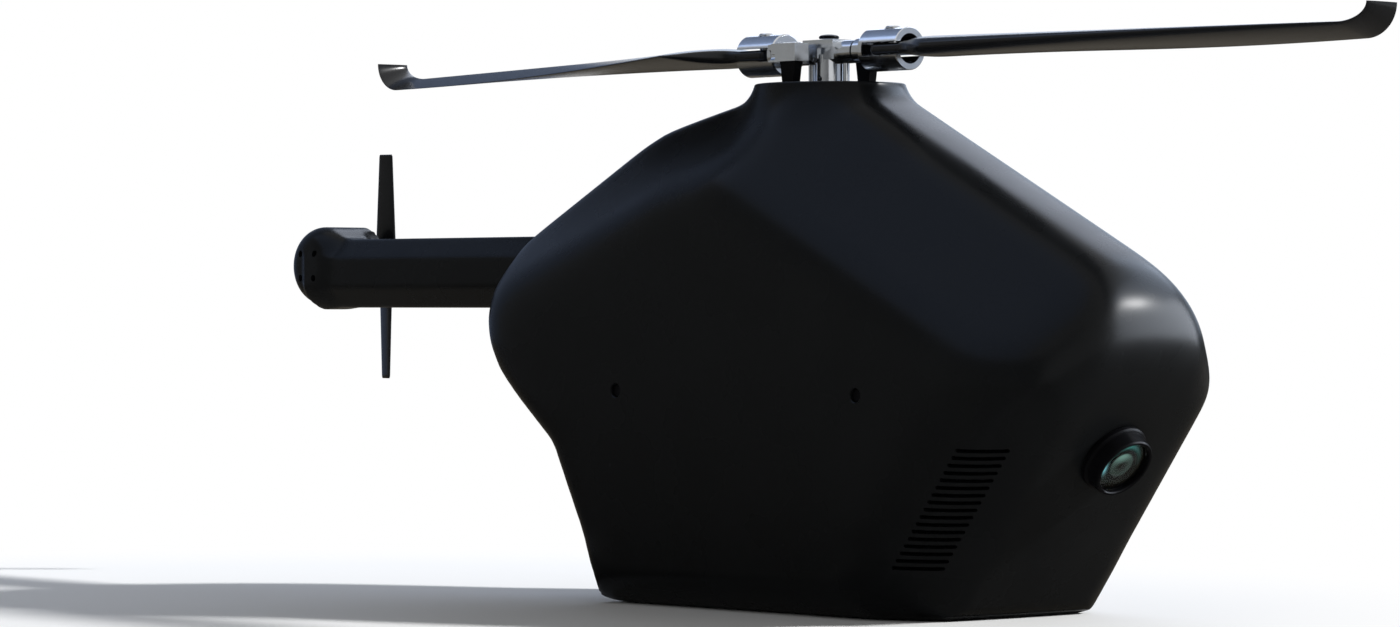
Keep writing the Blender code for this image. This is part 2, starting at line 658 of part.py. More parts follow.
def build_belly(finishes):
    angles, radii = belly_outline(GAP)
    outline = [(r * math.cos(a), r * math.sin(a)) for a, r in zip(angles, radii)]
    plate = add_object("belly_plate", prism(outline, 0.0, BELLY_PLATE, "Z"), finishes["moulded_black"])
    tray_floor = BELLY_PLATE + GAP
    tray_top = tray_floor + TRAY_HEIGHT
    reach = FRAME_HALF_GAP - GAP
    tray_shape = block((TRAY_X[0], -reach, tray_floor), (TRAY_X[1], reach, tray_top))
    tray = add_object("battery_tray", tray_shape, finishes["composite"])
    clear = BELLY_SCREW_RADIUS + SCREW_GAP
    wide = BELLY_SCREW_HEAD_RADIUS + GAP
    head_foot = GAP
    head_top = head_foot + BELLY_SCREW_HEAD
    recess = head_top + GAP
    plate_holes = []
    tray_holes = []
    for number, (x, y) in enumerate(belly_screw_places(), 1):
        place = along("Z", x, y)
        hole = [(0, -MM), (wide, -MM), (wide, recess), (clear, recess)]
        hole += [(clear, tray_floor + MM), (0, tray_floor + MM)]
        plate_holes.append(turned(hole, place, SMALL_ROUND))
        tray_holes.append(rod(place, clear, tray_floor - MM, tray_top + MM))
        tip = tray_top - GAP
        screw = [(0, head_foot), (BELLY_SCREW_HEAD_RADIUS, head_foot), (BELLY_SCREW_HEAD_RADIUS, head_top)]
        screw += [(BELLY_SCREW_RADIUS, head_top), (BELLY_SCREW_RADIUS, tip), (0, tip)]
        add_object(f"belly_screw_{number}", turned(screw, place, SMALL_ROUND), finishes["dark_steel"])
    combine(plate, merged(*plate_holes), "DIFFERENCE", "holes")
    combine(tray, merged(*tray_holes), "DIFFERENCE", "holes")
    low = (BATTERY_X[0], -BATTERY_HALF_WIDTH, tray_top + GAP)
    high = (BATTERY_X[1], BATTERY_HALF_WIDTH, tray_top + GAP + BATTERY_HEIGHT)
    add_object("battery", block(low, high, 2 * MM), finishes["battery_wrap"])


def build_frame(finishes):
    outline = mirrored_outline(FRAME_OUTLINE)
    post_end = POD_HALF_WIDTH - POD_WALL - GAP
    bore = SIDE_SCREW_RADIUS + SCREW_GAP
    depth = SIDE_SCREW_LENGTH
    for side, name in ((1, "left_frame_plate"), (-1, "right_frame_plate")):
        faces = sorted((side * FRAME_HALF_GAP, side * (FRAME_HALF_GAP + FRAME_PLATE)))
        plate = add_object(name, prism(outline, faces[0], faces[1], "Y"), finishes["composite"])
        holes = []
        for x in (POST_FRONT_X, POST_REAR_X):
            holes.append(rod(along("Y", x, 0, POST_Z), POST_RADIUS + GAP, faces[0] - MM, faces[1] + MM))
        combine(plate, merged(*holes), "DIFFERENCE", "post_holes")
    for x, name in ((POST_FRONT_X, "front_canopy_post"), (POST_REAR_X, "rear_canopy_post")):
        post = [(0, depth - post_end), (bore, depth - post_end)]
        post += [(bore, -post_end), (POST_RADIUS, -post_end)]
        post += [(radius, -height) for radius, height in post[::-1]]
        add_object(name, turned(post, along("Y", x, 0, POST_Z), SMALL_ROUND), finishes["aluminium"])


def build_electronics(finishes):
    reach = FRAME_HALF_GAP - GAP
    floor = POST_Z + POST_RADIUS + GAP
    top = floor + SHELF_HEIGHT
    boards = (("rear", REAR_SHELF_X, "flight_controller"), ("front", FRONT_SHELF_X, "speed_controller"))
    for where, (start, end), board in boards:
        shelf = block((start, -reach, floor), (end, reach, top))
        add_object(f"{where}_shelf", shelf, finishes["composite"])
        low = (start + BOARD_INSET, -BOARD_HALF_WIDTH, top + GAP)
        high = (end - BOARD_INSET, BOARD_HALF_WIDTH, top + GAP + BOARD_HEIGHT)
        add_object(board, block(low, high, MM), finishes["circuit_case"])


def build_camera(finishes):
    place = lens_place()
    reach = FRAME_HALF_GAP - GAP
    front = -LENS_STEM - GAP
    case_low = (-reach, -CAMERA_HALF_HEIGHT, front - CAMERA_DEPTH)
    case = block(case_low, (reach, CAMERA_HALF_HEIGHT, front), MM)
    bmesh.ops.transform(case, matrix=place, verts=case.verts)
    add_object("camera_module", case, finishes["circuit_case"])
    seat = LENS_PROUD - LENS_SEAT_DEPTH
    shoulder = LENS_PROUD / 3
    cup = LENS_GLASS_RADIUS + GAP
    barrel = [(LENS_BORE_RADIUS, -LENS_STEM), (LENS_STEM_RADIUS, -LENS_STEM), (LENS_STEM_RADIUS, GAP)]
    barrel += [(LENS_BASE_RADIUS, GAP), (LENS_BASE_RADIUS, shoulder), (LENS_RIM_RADIUS, LENS_PROUD)]
    barrel += [(cup, LENS_PROUD), (cup, seat), (LENS_BORE_RADIUS, seat)]
    add_object("lens_barrel", turned(barrel, place), finishes["gloss_black"])
    rim = seat + GAP + LENS_GLASS_EDGE
    glass = [(0, seat + GAP), (LENS_GLASS_RADIUS, seat + GAP)]
    for share in (1.0, 0.8, 0.45, 0.0):
        glass.append((share * LENS_GLASS_RADIUS, rim + (1 - share**2) * LENS_GLASS_CROWN))
    add_object("lens_glass", turned(glass, place), finishes["coated_glass"])


def bearing_block(name, low, high, axis_place, finishes):
    """A cross block between the frame plates, bored for a ball bearing."""
    made = add_object(name, block(low, high), finishes["aluminium"])
    seat = rod(axis_place, BEARING_RADIUS + GAP, low[2] - MM, high[2] + MM, ROUND)
    combine(made, seat, "DIFFERENCE", "bore")


def build_drive(finishes):
    reach = FRAME_HALF_GAP - GAP
    axis = along("Z")
    bore = MAST_RADIUS + GAP
    mount_low = (-MOUNT_HALF_LENGTH, -reach, MOUNT_TOP - MOUNT_HEIGHT)
    bearing_block("motor_mount", mount_low, (MOUNT_HALF_LENGTH, reach, MOUNT_TOP), axis, finishes)
    low = MOUNT_TOP - MOUNT_HEIGHT + GAP
    add_object("lower_bearing", tube(axis, bore, BEARING_RADIUS, low, MOUNT_TOP - GAP), finishes["steel"])
    upper_low, upper_high = UPPER_BLOCK_Z
    servo_face = SERVO_RADIUS - SERVO_HALF_WIDTH - GAP
    front_face = SERVO_RADIUS * math.cos(math.radians(SERVO_ANGLES["left"])) - SERVO_HALF_WIDTH - GAP
    block_low = (-servo_face, -reach, upper_low)
    bearing_block("upper_bearing_block", block_low, (front_face, reach, upper_high), axis, finishes)
    upper_ring = tube(axis, bore, BEARING_RADIUS, upper_low + GAP, upper_high - GAP)
    add_object("upper_bearing", upper_ring, finishes["steel"])
    foot = MOUNT_TOP + GAP
    bell_foot = foot + STATOR_FLANGE + RUN_GAP
    bell_top = foot + MOTOR_HEIGHT
    core = MOTOR_RADIUS - MOTOR_WALL - RUN_GAP
    ceiling = bell_top - MOTOR_WALL
    inner = MAST_RADIUS + RUN_GAP
    stator = [(inner, foot), (core, foot), (core, ceiling - RUN_GAP), (inner, ceiling - RUN_GAP)]
    add_object("main_motor_stator", turned(stator, axis), finishes["copper"])
    bell = [(bore, ceiling), (MOTOR_RADIUS - MOTOR_WALL, ceiling), (MOTOR_RADIUS - MOTOR_WALL, bell_foot)]
    bell += [(MOTOR_RADIUS, bell_foot), (MOTOR_RADIUS, bell_top - MM)]
    bell += [(MOTOR_RADIUS - MM, bell_top), (bore, bell_top)]
    add_object("main_motor_bell", turned(bell, axis), finishes["dark_steel"])
    mast_foot = MOUNT_TOP - MOUNT_HEIGHT - MM
    add_object("main_mast", rod(axis, MAST_RADIUS, mast_foot, HUB_FLOOR - GAP, ROUND), finishes["steel"])


def build_servos(finishes):
    for where, degrees in SERVO_ANGLES.items():
        angle = math.radians(degrees)
        x = SERVO_RADIUS * math.cos(angle)
        y = SERVO_RADIUS * math.sin(angle)
        low = (x - SERVO_HALF_WIDTH, y - SERVO_HALF_WIDTH, SERVO_TOP - SERVO_HEIGHT)
        high = (x + SERVO_HALF_WIDTH, y + SERVO_HALF_WIDTH, SERVO_TOP)
        servo = add_object(f"{where}_servo", block(low, high), finishes["circuit_case"])
        rod_foot = SERVO_TOP - PUSHROD_DIP
        bore_foot = rod_foot - SWASH_TRAVEL - RUN_GAP
        bore = rod(along("Z", x, y), PUSHROD_RADIUS + RUN_GAP, bore_foot, SERVO_TOP + MM)
        combine(servo, bore, "DIFFERENCE", "bore")
        pushrod = rod(along("Z", x, y), PUSHROD_RADIUS, rod_foot, SWASH_Z - GAP)
        add_object(f"{where}_pushrod", pushrod, finishes["steel"], (x, y, SWASH_Z))


def build_swashplate(finishes):
    axis = along("Z")
    pivot = (0, 0, SWASH_Z)
    ring_top = SWASH_Z + SWASH_RING_HEIGHT
    ring = tube(axis, SWASH_INNER_RADIUS + RUN_GAP, SWASH_OUTER_RADIUS, SWASH_Z, ring_top)
    outer = add_object("swash_outer_ring", ring, finishes["moulded_black"], pivot)
    arms = []
    for degrees in SERVO_ANGLES.values():
        start = (SWASH_INNER_RADIUS + SWASH_OUTER_RADIUS) / 2
        end = SERVO_RADIUS + SWASH_ARM_WIDTH / 2
        half = SWASH_ARM_WIDTH / 2
        arm = block((start, -half, SWASH_Z), (end, half, SWASH_Z + 0.7 * SWASH_RING_HEIGHT))
        bmesh.ops.rotate(arm, matrix=Matrix.Rotation(math.radians(degrees), 3, "Z"), verts=arm.verts)
        arms.append(arm)
    combine(outer, merged(*arms), "UNION", "arms")
    bore = MAST_RADIUS + RUN_GAP
    neck = ring_top + RUN_GAP
    inner = [(bore, SWASH_Z), (SWASH_INNER_RADIUS, SWASH_Z), (SWASH_INNER_RADIUS, neck)]
    inner += [(SWASH_SLEEVE_RADIUS, neck), (SWASH_SLEEVE_RADIUS, SWASH_SLEEVE_TOP)]
    inner += [(bore, SWASH_SLEEVE_TOP)]
    sleeve = add_object("swash_inner_ring", turned(inner, axis), finishes["aluminium"], pivot)
    pins = []
    for side in (1, -1):
        place = along("Y", side * PITCH_ARM_X, 0, SWASH_PIN_Z) @ facing(side)
        reach = PITCH_ARM_Y + CONTROL_ARM_THICKNESS / 2
        pins.append(rod(place, SWASH_PIN_RADIUS, MAST_RADIUS - MM, reach))
    combine(sleeve, merged(*pins), "UNION", "pins")
    combine(sleeve, rod(axis, bore, SWASH_Z - MM, SWASH_SLEEVE_TOP + MM, ROUND), "DIFFERENCE", "bore")


def build_hub(finishes):
    pivot = (0, 0, ROTOR_Z)
    low = (-HUB_HALF_LENGTH, -HUB_HALF_WIDTH, HUB_FLOOR)
    hub_shape = block(low, (HUB_HALF_LENGTH, HUB_HALF_WIDTH, HUB_TOP), 0.6 * MM)
    hub = add_object("rotor_hub", hub_shape, finishes["aluminium"], pivot)
    across = along("X", 0, 0, ROTOR_Z)
    combine(hub, rod(across, HUB_SLEEVE_RADIUS, -HUB_REACH, HUB_REACH, ROUND), "UNION", "sleeve")
    axis = along("Z")
    combine(hub, rod(axis, HUB_NECK_RADIUS, HUB_NECK_FOOT, ROTOR_Z, ROUND), "UNION", "neck")
    mast_bore = rod(axis, MAST_RADIUS + GAP, HUB_NECK_FOOT - MM, HUB_FLOOR, ROUND)
    combine(hub, mast_bore, "DIFFERENCE", "mast_bore")
    reach = HUB_REACH + MM
    combine(hub, rod(across, SPINDLE_RADIUS + GAP, -reach, reach, ROUND), "DIFFERENCE", "spindle_bore")
    end = GRIP_SLOT_START - GAP
    add_object("feathering_spindle", rod(across, SPINDLE_RADIUS, -end, end), finishes["steel"], pivot)
    seat = HUB_TOP + GAP
    dome = [(0, seat), (BUTTON_RADIUS, seat), (BUTTON_RADIUS, seat + 0.4 * BUTTON_HEIGHT)]
    dome += [(0.7 * BUTTON_RADIUS, seat + 0.85 * BUTTON_HEIGHT), (0, seat + BUTTON_HEIGHT)]
    add_object("head_button", turned(dome, axis), finishes["gloss_black"], pivot)


def half_turn(side):
    """The front blade set as drawn, or the same set turned half round the mast."""
    return Matrix.Rotation(0 if side > 0 else math.pi, 4, "Z")


def turned_over(shape, side):
    bmesh.ops.transform(shape, matrix=half_turn(side), verts=shape.verts)
    return shape


def build_grip(where, side, finishes):
    pivot = half_turn(side) @ Vector((BLADE_BOLT_X, 0, ROTOR_Z))
    across = along("X", 0, 0, ROTOR_Z)
    step = GRIP_SLOT_START + RUN_GAP
    bore = SPINDLE_RADIUS + GAP
    profile = [(bore, GRIP_START), (GRIP_NECK_RADIUS, GRIP_START), (GRIP_NECK_RADIUS, GRIP_TUBE_START)]
    profile += [(GRIP_RADIUS, GRIP_TUBE_START), (GRIP_RADIUS, GRIP_END)]
    profile += [(GRIP_BORE_RADIUS, GRIP_END), (GRIP_BORE_RADIUS, step), (bore, step)]
    axis_point = half_turn(side) @ Vector((GRIP_START, 0, ROTOR_Z))
    body = turned_over(turned(profile, across), side)
    grip = add_object(f"{where}_grip", body, finishes["aluminium"], axis_point)
    near = PITCH_ARM_Y - PITCH_BLOCK_HALF_WIDTH
    far = PITCH_ARM_Y + PITCH_BLOCK_HALF_WIDTH
    root = GRIP_NECK_RADIUS - PITCH_LEG_SINK
    leg_end = GRIP_START + PITCH_LEG_WIDTH
    lug = [(PITCH_BLOCK_START, near), (GRIP_START, near), (GRIP_START, root), (leg_end, root)]
    lug += [(leg_end, PITCH_ARM_Y), (PITCH_BLOCK_END, PITCH_ARM_Y)]
    lug += [(PITCH_BLOCK_END, far), (PITCH_BLOCK_START, far)]
    low = ROTOR_Z - PITCH_BLOCK_HALF_HEIGHT
    lug_shape = prism(lug, low, ROTOR_Z + PITCH_BLOCK_HALF_HEIGHT, "Z")
    combine(grip, turned_over(lug_shape, side), "UNION", "pitch_block")
    pocket_low = (POCKET_NEAR, PITCH_ARM_Y - POCKET_HALF_WIDTH, low - MM)
    pocket = block(pocket_low, (POCKET_FAR, PITCH_ARM_Y + POCKET_HALF_WIDTH, POCKET_TOP))
    combine(grip, turned_over(pocket, side), "DIFFERENCE", "arm_pocket")
    trunnion = along("X", 0, PITCH_ARM_Y, TRUNNION_Z)
    hole = rod(trunnion, TRUNNION_RADIUS + GAP, PITCH_ARM_X, PITCH_BLOCK_END + MM)
    combine(grip, turned_over(hole, side), "DIFFERENCE", "trunnion_hole")
    slot_half = BLADE_ROOT_THICKNESS / 2 + GAP
    slot_low = (GRIP_SLOT_START, -2 * GRIP_RADIUS, ROTOR_Z - slot_half)
    slot = block(slot_low, (GRIP_END + MM, 2 * GRIP_RADIUS, ROTOR_Z + slot_half))
    combine(grip, turned_over(slot, side), "DIFFERENCE", "blade_slot")
    head_seat = GRIP_RADIUS - BLADE_BOLT_RECESS
    clear = BLADE_BOLT_RADIUS + GAP
    wide = BLADE_BOLT_HEAD_RADIUS + GAP
    top = 2 * GRIP_RADIUS
    drill = [(0, -top), (clear, -top), (clear, head_seat), (wide, head_seat), (wide, top), (0, top)]
    bolt_axis = along("Z", BLADE_BOLT_X, 0, ROTOR_Z)
    combine(grip, turned_over(turned(drill, bolt_axis, SMALL_ROUND), side), "DIFFERENCE", "bolt_hole")
    seat = head_seat + GAP
    head = seat + BLADE_BOLT_HEAD
    foot = -GRIP_RADIUS
    bolt = [(0, foot), (BLADE_BOLT_RADIUS, foot), (BLADE_BOLT_RADIUS, seat), (BLADE_BOLT_HEAD_RADIUS, seat)]
    bolt += [(BLADE_BOLT_HEAD_RADIUS, head), (0, head)]
    bolt_shape = turned_over(turned(bolt, bolt_axis, SMALL_ROUND), side)
    add_object(f"{where}_blade_bolt", bolt_shape, finishes["steel"], pivot)


def build_control_arm(where, side, finishes):
    pivot = half_turn(side) @ Vector((PITCH_ARM_X, PITCH_ARM_Y, TRUNNION_Z))
    top = TRUNNION_Z + CONTROL_ARM_CROWN
    foot = SWASH_PIN_Z - CONTROL_ARM_FOOT_WIDTH / 2
    half_top = CONTROL_ARM_TOP_WIDTH / 2
    half_foot = CONTROL_ARM_FOOT_WIDTH / 2
    chin = half_foot / 2
    outline = [(-half_top, top), (-half_foot, foot + chin), (-chin, foot)]
    outline += [(chin, foot), (half_foot, foot + chin), (half_top, top)]
    placed = mirrored_outline([(PITCH_ARM_X + x, z) for x, z in outline])
    half = CONTROL_ARM_THICKNESS / 2
    shape = turned_over(prism(placed, PITCH_ARM_Y - half, PITCH_ARM_Y + half, "Y"), side)
    arm = add_object(f"{where}_control_arm", shape, finishes["gloss_black"], pivot)
    trunnion = rod(along("X", 0, PITCH_ARM_Y, TRUNNION_Z), TRUNNION_RADIUS, PITCH_ARM_X, TRUNNION_END)
    combine(arm, turned_over(trunnion, side), "UNION", "trunnion")
    pin = along("Y", PITCH_ARM_X, 0, SWASH_PIN_Z)
    eye = rod(pin, CONTROL_ARM_EYE, PITCH_ARM_Y - 2 * half, PITCH_ARM_Y + 2 * half)
    combine(arm, turned_over(eye, side), "DIFFERENCE", "eye")


def blade_section(radius, lead, trail, thickness, pitch, curl, lift):
    """Eight points round the blade at one radius, from its leading edge over the top and back below."""
    points = []
    ahead = 0 if radius < BLADE_SHOULDER else radius * math.tan(BLADE_SWEEP)
    bluntness = 0.5 if radius < BLADE_SHOULDER else 0.2
    upper = [(-lead, bluntness), (-0.6 * lead, 0.5), (0.5 * trail, 0.5), (trail, bluntness)]
    lower = [(y, -share) for y, share in upper[::-1]]
    if bluntness == 0.5:
        lower = [(y, -0.5) for y, _ in upper[::-1]]
    for y, share in upper + lower:
        flat = y * math.cos(pitch) - ahead
        rise = lift - y * math.sin(pitch) * math.cos(curl)
        out = radius - math.sin(curl) * share * thickness
        points.append(Vector((out, flat, ROTOR_Z + rise + math.cos(curl) * share * thickness)))
    return points


def blade_sections():
    """Blade rings from the slab in the grip, out along the twisted blade, and up the curled tip."""
    half = BLADE_ROOT_HALF_WIDTH
    sections = [blade_section(BLADE_ROOT, 0.75 * half, 0.75 * half, BLADE_ROOT_THICKNESS, 0, 0, 0)]
    for radius in (BLADE_ROOT + MM, BLADE_BOLT_X, BLADE_SHOULDER - MM):
        sections.append(blade_section(radius, half, half, BLADE_ROOT_THICKNESS, 0, 0, 0))
    straight_end = ROTOR_RADIUS - WINGLET_RUN
    stations = np.linspace(0.0, 1.0, 6)
    for share in stations:
        radius = BLADE_FULL_CHORD + share * (straight_end - BLADE_FULL_CHORD)
        chord = BLADE_ROOT_CHORD + share * (BLADE_TIP_CHORD - BLADE_ROOT_CHORD)
        thickness = BLADE_SWELL + share * (BLADE_TIP_THICKNESS - BLADE_SWELL)
        lift = -BLADE_DROOP * share
        lead = BLADE_LEAD * chord
        section = blade_section(radius, lead, chord - lead, thickness, share * BLADE_TIP_PITCH, 0, lift)
        sections.append(section)
    lead = BLADE_LEAD * BLADE_TIP_CHORD
    trail = BLADE_TIP_CHORD - lead
    thin = BLADE_TIP_THICKNESS
    for degrees in (30, 60, 90):
        curl = math.radians(degrees)
        radius = straight_end + WINGLET_RUN * math.sin(curl)
        lift = WINGLET_RISE * (1 - math.cos(curl)) - BLADE_DROOP
        sections.append(blade_section(radius, lead, trail, thin, BLADE_TIP_PITCH, curl, lift))
    return sections


def build_blade(where, side, finishes):
    pivot = half_turn(side) @ Vector((BLADE_BOLT_X, 0, ROTOR_Z))
    shape = turned_over(loft(blade_sections()), side)
    blade = add_object(f"{where}_blade", shape, finishes["blade_composite"], pivot)
    hole = rod(along("Z", BLADE_BOLT_X, 0, ROTOR_Z), BLADE_BOLT_RADIUS + GAP, -GRIP_RADIUS, GRIP_RADIUS)
    combine(blade, turned_over(hole, side), "DIFFERENCE", "bolt_hole")


def build_boom(finishes):
    length = BOOM_FRONT_X - TAIL_X
    axis = along("X", TAIL_X, 0, BOOM_Z)
    boom = add_object("tail_boom", rod(axis, BOOM_RADIUS, 0, length, ROUND), finishes["moulded_black"])
    deep = TAIL_HOUSING_HALF_DEPTH
    wide = TAIL_HOUSING_RADIUS
    soft = TAIL_HOUSING_EDGE
    quarter = [math.radians(turn) for turn in (0, 18, 36, 54, 72, 90)]
    housing = [(wide - soft + soft * math.sin(a), soft - deep - soft * math.cos(a)) for a in quarter]
    housing = [(0, -deep), *housing, (wide, deep), (0, deep)]
    tail = along("Y", TAIL_X, 0, TAIL_Z)
    combine(boom, turned(housing, tail), "UNION", "housing")
    cup = rod(tail, TAIL_CUP_RADIUS, TAIL_HOUSING_WALL - deep, deep + MM, ROUND)
    combine(boom, cup, "DIFFERENCE", "cup")
    bore = rod(axis, BOOM_RADIUS - BOOM_WALL, 0.7 * TAIL_CUP_RADIUS, length + MM, ROUND)
    combine(boom, bore, "DIFFERENCE", "bore")
    holes = []
    base_holes = []
    base_foot = TAIL_HOUSING_WALL - deep + GAP
    base_top = base_foot + TAIL_MOTOR_BASE
    half = TAIL_SCREW_SPACING / 2
    corners = [(x, z) for x in (half, -half) for z in (half, -half)]
    for number, (x, z) in enumerate(corners, 1):
        place = along("Y", TAIL_X + x, 0, TAIL_Z + z)
        holes.append(rod(place, TAIL_HOLE_RADIUS, -deep - MM, base_foot))
        base_holes.append(rod(place, TAIL_HOLE_RADIUS, base_foot - MM, base_top + MM))
        screw = rod(place, TAIL_SCREW_RADIUS, TAIL_SCREW_RECESS - deep, base_top - GAP)
        add_object(f"tail_motor_screw_{number}", screw, finishes["dark_steel"])
    combine(boom, merged(*holes), "DIFFERENCE", "screw_holes")
    shaft_bore = TAIL_SHAFT_RADIUS + RUN_GAP
    bell_foot = base_top + RUN_GAP
    bell_top = bell_foot + TAIL_BELL_LENGTH
    ceiling = bell_top - TAIL_HOUSING_WALL
    inner = TAIL_MOTOR_RADIUS - TAIL_HOUSING_WALL
    core = inner - RUN_GAP
    base = [(shaft_bore, base_foot), (TAIL_MOTOR_RADIUS, base_foot), (TAIL_MOTOR_RADIUS, base_top)]
    base += [(TAIL_SCREW_SPACING / 2 - TAIL_HOLE_RADIUS, base_top)]
    neck = base[-1][0]
    base += [(neck, bell_foot + MM), (core, bell_foot + MM), (core, ceiling - RUN_GAP)]
    base += [(shaft_bore, ceiling - RUN_GAP)]
    stator = add_object("tail_motor_base", turned(base, tail), finishes["copper"])
    combine(stator, merged(*base_holes), "DIFFERENCE", "screw_holes")
    hub_low = TAIL_ROTOR_Y - TAIL_HUB_LENGTH / 2
    hub_high = TAIL_ROTOR_Y + TAIL_HUB_LENGTH / 2
    nut_high = hub_high + GAP + TAIL_NUT_LENGTH
    pivot = (TAIL_X, TAIL_ROTOR_Y, TAIL_Z)
    bell = [(0, bell_foot), (TAIL_SHAFT_RADIUS, bell_foot), (TAIL_SHAFT_RADIUS, ceiling), (inner, ceiling)]
    bell += [(inner, bell_foot), (TAIL_MOTOR_RADIUS, bell_foot), (TAIL_MOTOR_RADIUS, bell_top)]
    collar_top = hub_low - GAP
    bell += [(TAIL_NUT_RADIUS, bell_top), (TAIL_NUT_RADIUS, collar_top), (TAIL_SHAFT_RADIUS, collar_top)]
    bell += [(TAIL_SHAFT_RADIUS, nut_high), (0, nut_high)]
    add_object("tail_motor_bell", turned(bell, tail), finishes["dark_steel"], pivot)
    build_tail_rotor(tail, pivot, hub_low, hub_high, finishes)
    nut = tube(tail, TAIL_SHAFT_RADIUS + GAP, TAIL_NUT_RADIUS, hub_high + GAP, nut_high, 6)
    add_object("tail_rotor_nut", nut, finishes["gloss_black"], pivot)
    clamp_half = FRAME_HALF_GAP - GAP
    low = BOOM_Z - BOOM_RADIUS - CLAMP_WALL
    high = BOOM_Z + BOOM_RADIUS + CLAMP_WALL
    cheek = BOOM_RADIUS
    outline = [(clamp_half, low), (clamp_half, BOOM_Z), (cheek, high)]
    outline += [(-cheek, high), (-clamp_half, BOOM_Z), (-clamp_half, low)]
    clamp = add_object("boom_clamp", prism(outline, CLAMP_X[0], CLAMP_X[1], "X"), finishes["aluminium"])
    seat = rod(along("X", 0, 0, BOOM_Z), BOOM_RADIUS + GAP, CLAMP_X[0] - MM, CLAMP_X[1] + MM, ROUND)
    combine(clamp, seat, "DIFFERENCE", "seat")


def build_tail_rotor(tail, pivot, hub_low, hub_high, finishes):
    bore = TAIL_SHAFT_RADIUS + GAP
    hub = tube(tail, bore, TAIL_HUB_RADIUS, hub_low, hub_high)
    rotor = add_object("tail_rotor", hub, finishes["blade_composite"], pivot)
    root = 0.75 * TAIL_HUB_RADIUS
    blades = []
    for sign in (1, -1):
        sections = []
        for share in (0.0, 0.5, 1.0):
            height = root + share * (TAIL_ROTOR_RADIUS - root)
            half = TAIL_BLADE_ROOT_CHORD + share * (TAIL_BLADE_TIP_CHORD - TAIL_BLADE_ROOT_CHORD)
            half /= 2
            thick = TAIL_BLADE_THICKNESS / 2
            ring = []
            for chord, rise in ((-half, -0.4 * thick), (half, -thick), (half, thick), (-half, thick)):
                x = chord * math.cos(TAIL_BLADE_PITCH) - rise * math.sin(TAIL_BLADE_PITCH)
                y = chord * math.sin(TAIL_BLADE_PITCH) + rise * math.cos(TAIL_BLADE_PITCH)
                ring.append(Vector((TAIL_X + sign * x, TAIL_ROTOR_Y + y, TAIL_Z + sign * height)))
            sections.append(ring)
        blades.append(loft(sections))
    combine(rotor, merged(*blades), "UNION", "blades")


def main():
    for thing in list(bpy.data.objects):
        bpy.data.objects.remove(thing)
    finishes = {
        "moulded_black": material("moulded_black", (0.008, 0.009, 0.010), 0.42),
        "gloss_black": material("gloss_black", (0.006, 0.006, 0.007), 0.2),
        "blade_composite": material("blade_composite", (0.012, 0.013, 0.014), 0.38),
        "composite": material("composite", (0.03, 0.03, 0.032), 0.5),
        "circuit_case": material("circuit_case", (0.02, 0.03, 0.025), 0.5),
        "battery_wrap": material("battery_wrap", (0.05, 0.06, 0.10), 0.4),
        "aluminium": material("aluminium", (0.82, 0.83, 0.85), 0.25, 1.0),
        "steel": material("steel", (0.62, 0.63, 0.65), 0.25, 1.0),
        "dark_steel": material("dark_steel", (0.06, 0.06, 0.065), 0.35, 1.0),
        "copper": material("copper", (0.55, 0.27, 0.14), 0.4, 1.0),
        "coated_glass": material("coated_glass", (0.02, 0.09, 0.09), 0.03),
    }
    build_pod(finishes)
    build_side_screws(finishes)
    build_belly(finishes)
    build_frame(finishes)
    build_electronics(finishes)
    build_camera(finishes)
    build_drive(finishes)
    build_servos(finishes)
    build_swashplate(finishes)
    build_hub(finishes)
    for where, side in (("front", 1), ("rear", -1)):
        build_grip(where, side, finishes)
        build_control_arm(where, side, finishes)
        build_blade(where, side, finishes)
    build_boom(finishes)


main()
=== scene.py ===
# %% [markdown]
# A small single-rotor helicopter drone: a black faceted pod with a camera in its nose, a bright
# metal rotor head with two blades whose tips curl up, and a boom with a tail rotor on its side.
# The construction comes in as a fixed frame. This file gives it its looks: finer surfaces over
# the plain solids, finishes made of shader nodes, a floor, light and a camera.

# %% The fixed frame
import json

import bmesh
import bpy
import numpy as np
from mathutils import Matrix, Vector


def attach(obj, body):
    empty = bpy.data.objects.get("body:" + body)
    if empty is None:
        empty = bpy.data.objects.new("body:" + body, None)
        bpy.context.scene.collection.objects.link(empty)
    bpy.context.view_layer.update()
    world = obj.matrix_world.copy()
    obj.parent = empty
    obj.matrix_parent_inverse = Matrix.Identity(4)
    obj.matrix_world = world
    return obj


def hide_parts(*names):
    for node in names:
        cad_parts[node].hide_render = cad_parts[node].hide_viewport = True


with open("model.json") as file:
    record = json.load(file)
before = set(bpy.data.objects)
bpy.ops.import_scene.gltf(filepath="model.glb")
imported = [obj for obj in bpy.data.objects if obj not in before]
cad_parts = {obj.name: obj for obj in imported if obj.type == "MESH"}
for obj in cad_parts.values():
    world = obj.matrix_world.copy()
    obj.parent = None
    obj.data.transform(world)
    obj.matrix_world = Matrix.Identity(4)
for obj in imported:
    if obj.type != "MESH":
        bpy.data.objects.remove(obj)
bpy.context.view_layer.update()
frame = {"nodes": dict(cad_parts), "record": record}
scene = bpy.context.scene
MM = 0.001

# %% [markdown]
# The camera stands low, level with the pod's middle, off the nose on the right-hand side. A long
# lens keeps the perspective mild. Its place is worked out once in the image plane: how far it
# stands from the mast, how high, and which way the middle of the frame looks.

# %% The camera
IMAGE_WIDTH = 1400
IMAGE_HEIGHT = 627
FOCAL_PIXELS = 4900
SENSOR_MM = 36.0
CAMERA_DISTANCE = 1094 * MM
CAMERA_HEIGHT = 67.6 * MM
CAMERA_BEARING = np.radians(47.0)
LEVEL_PIXEL = (829, 302)

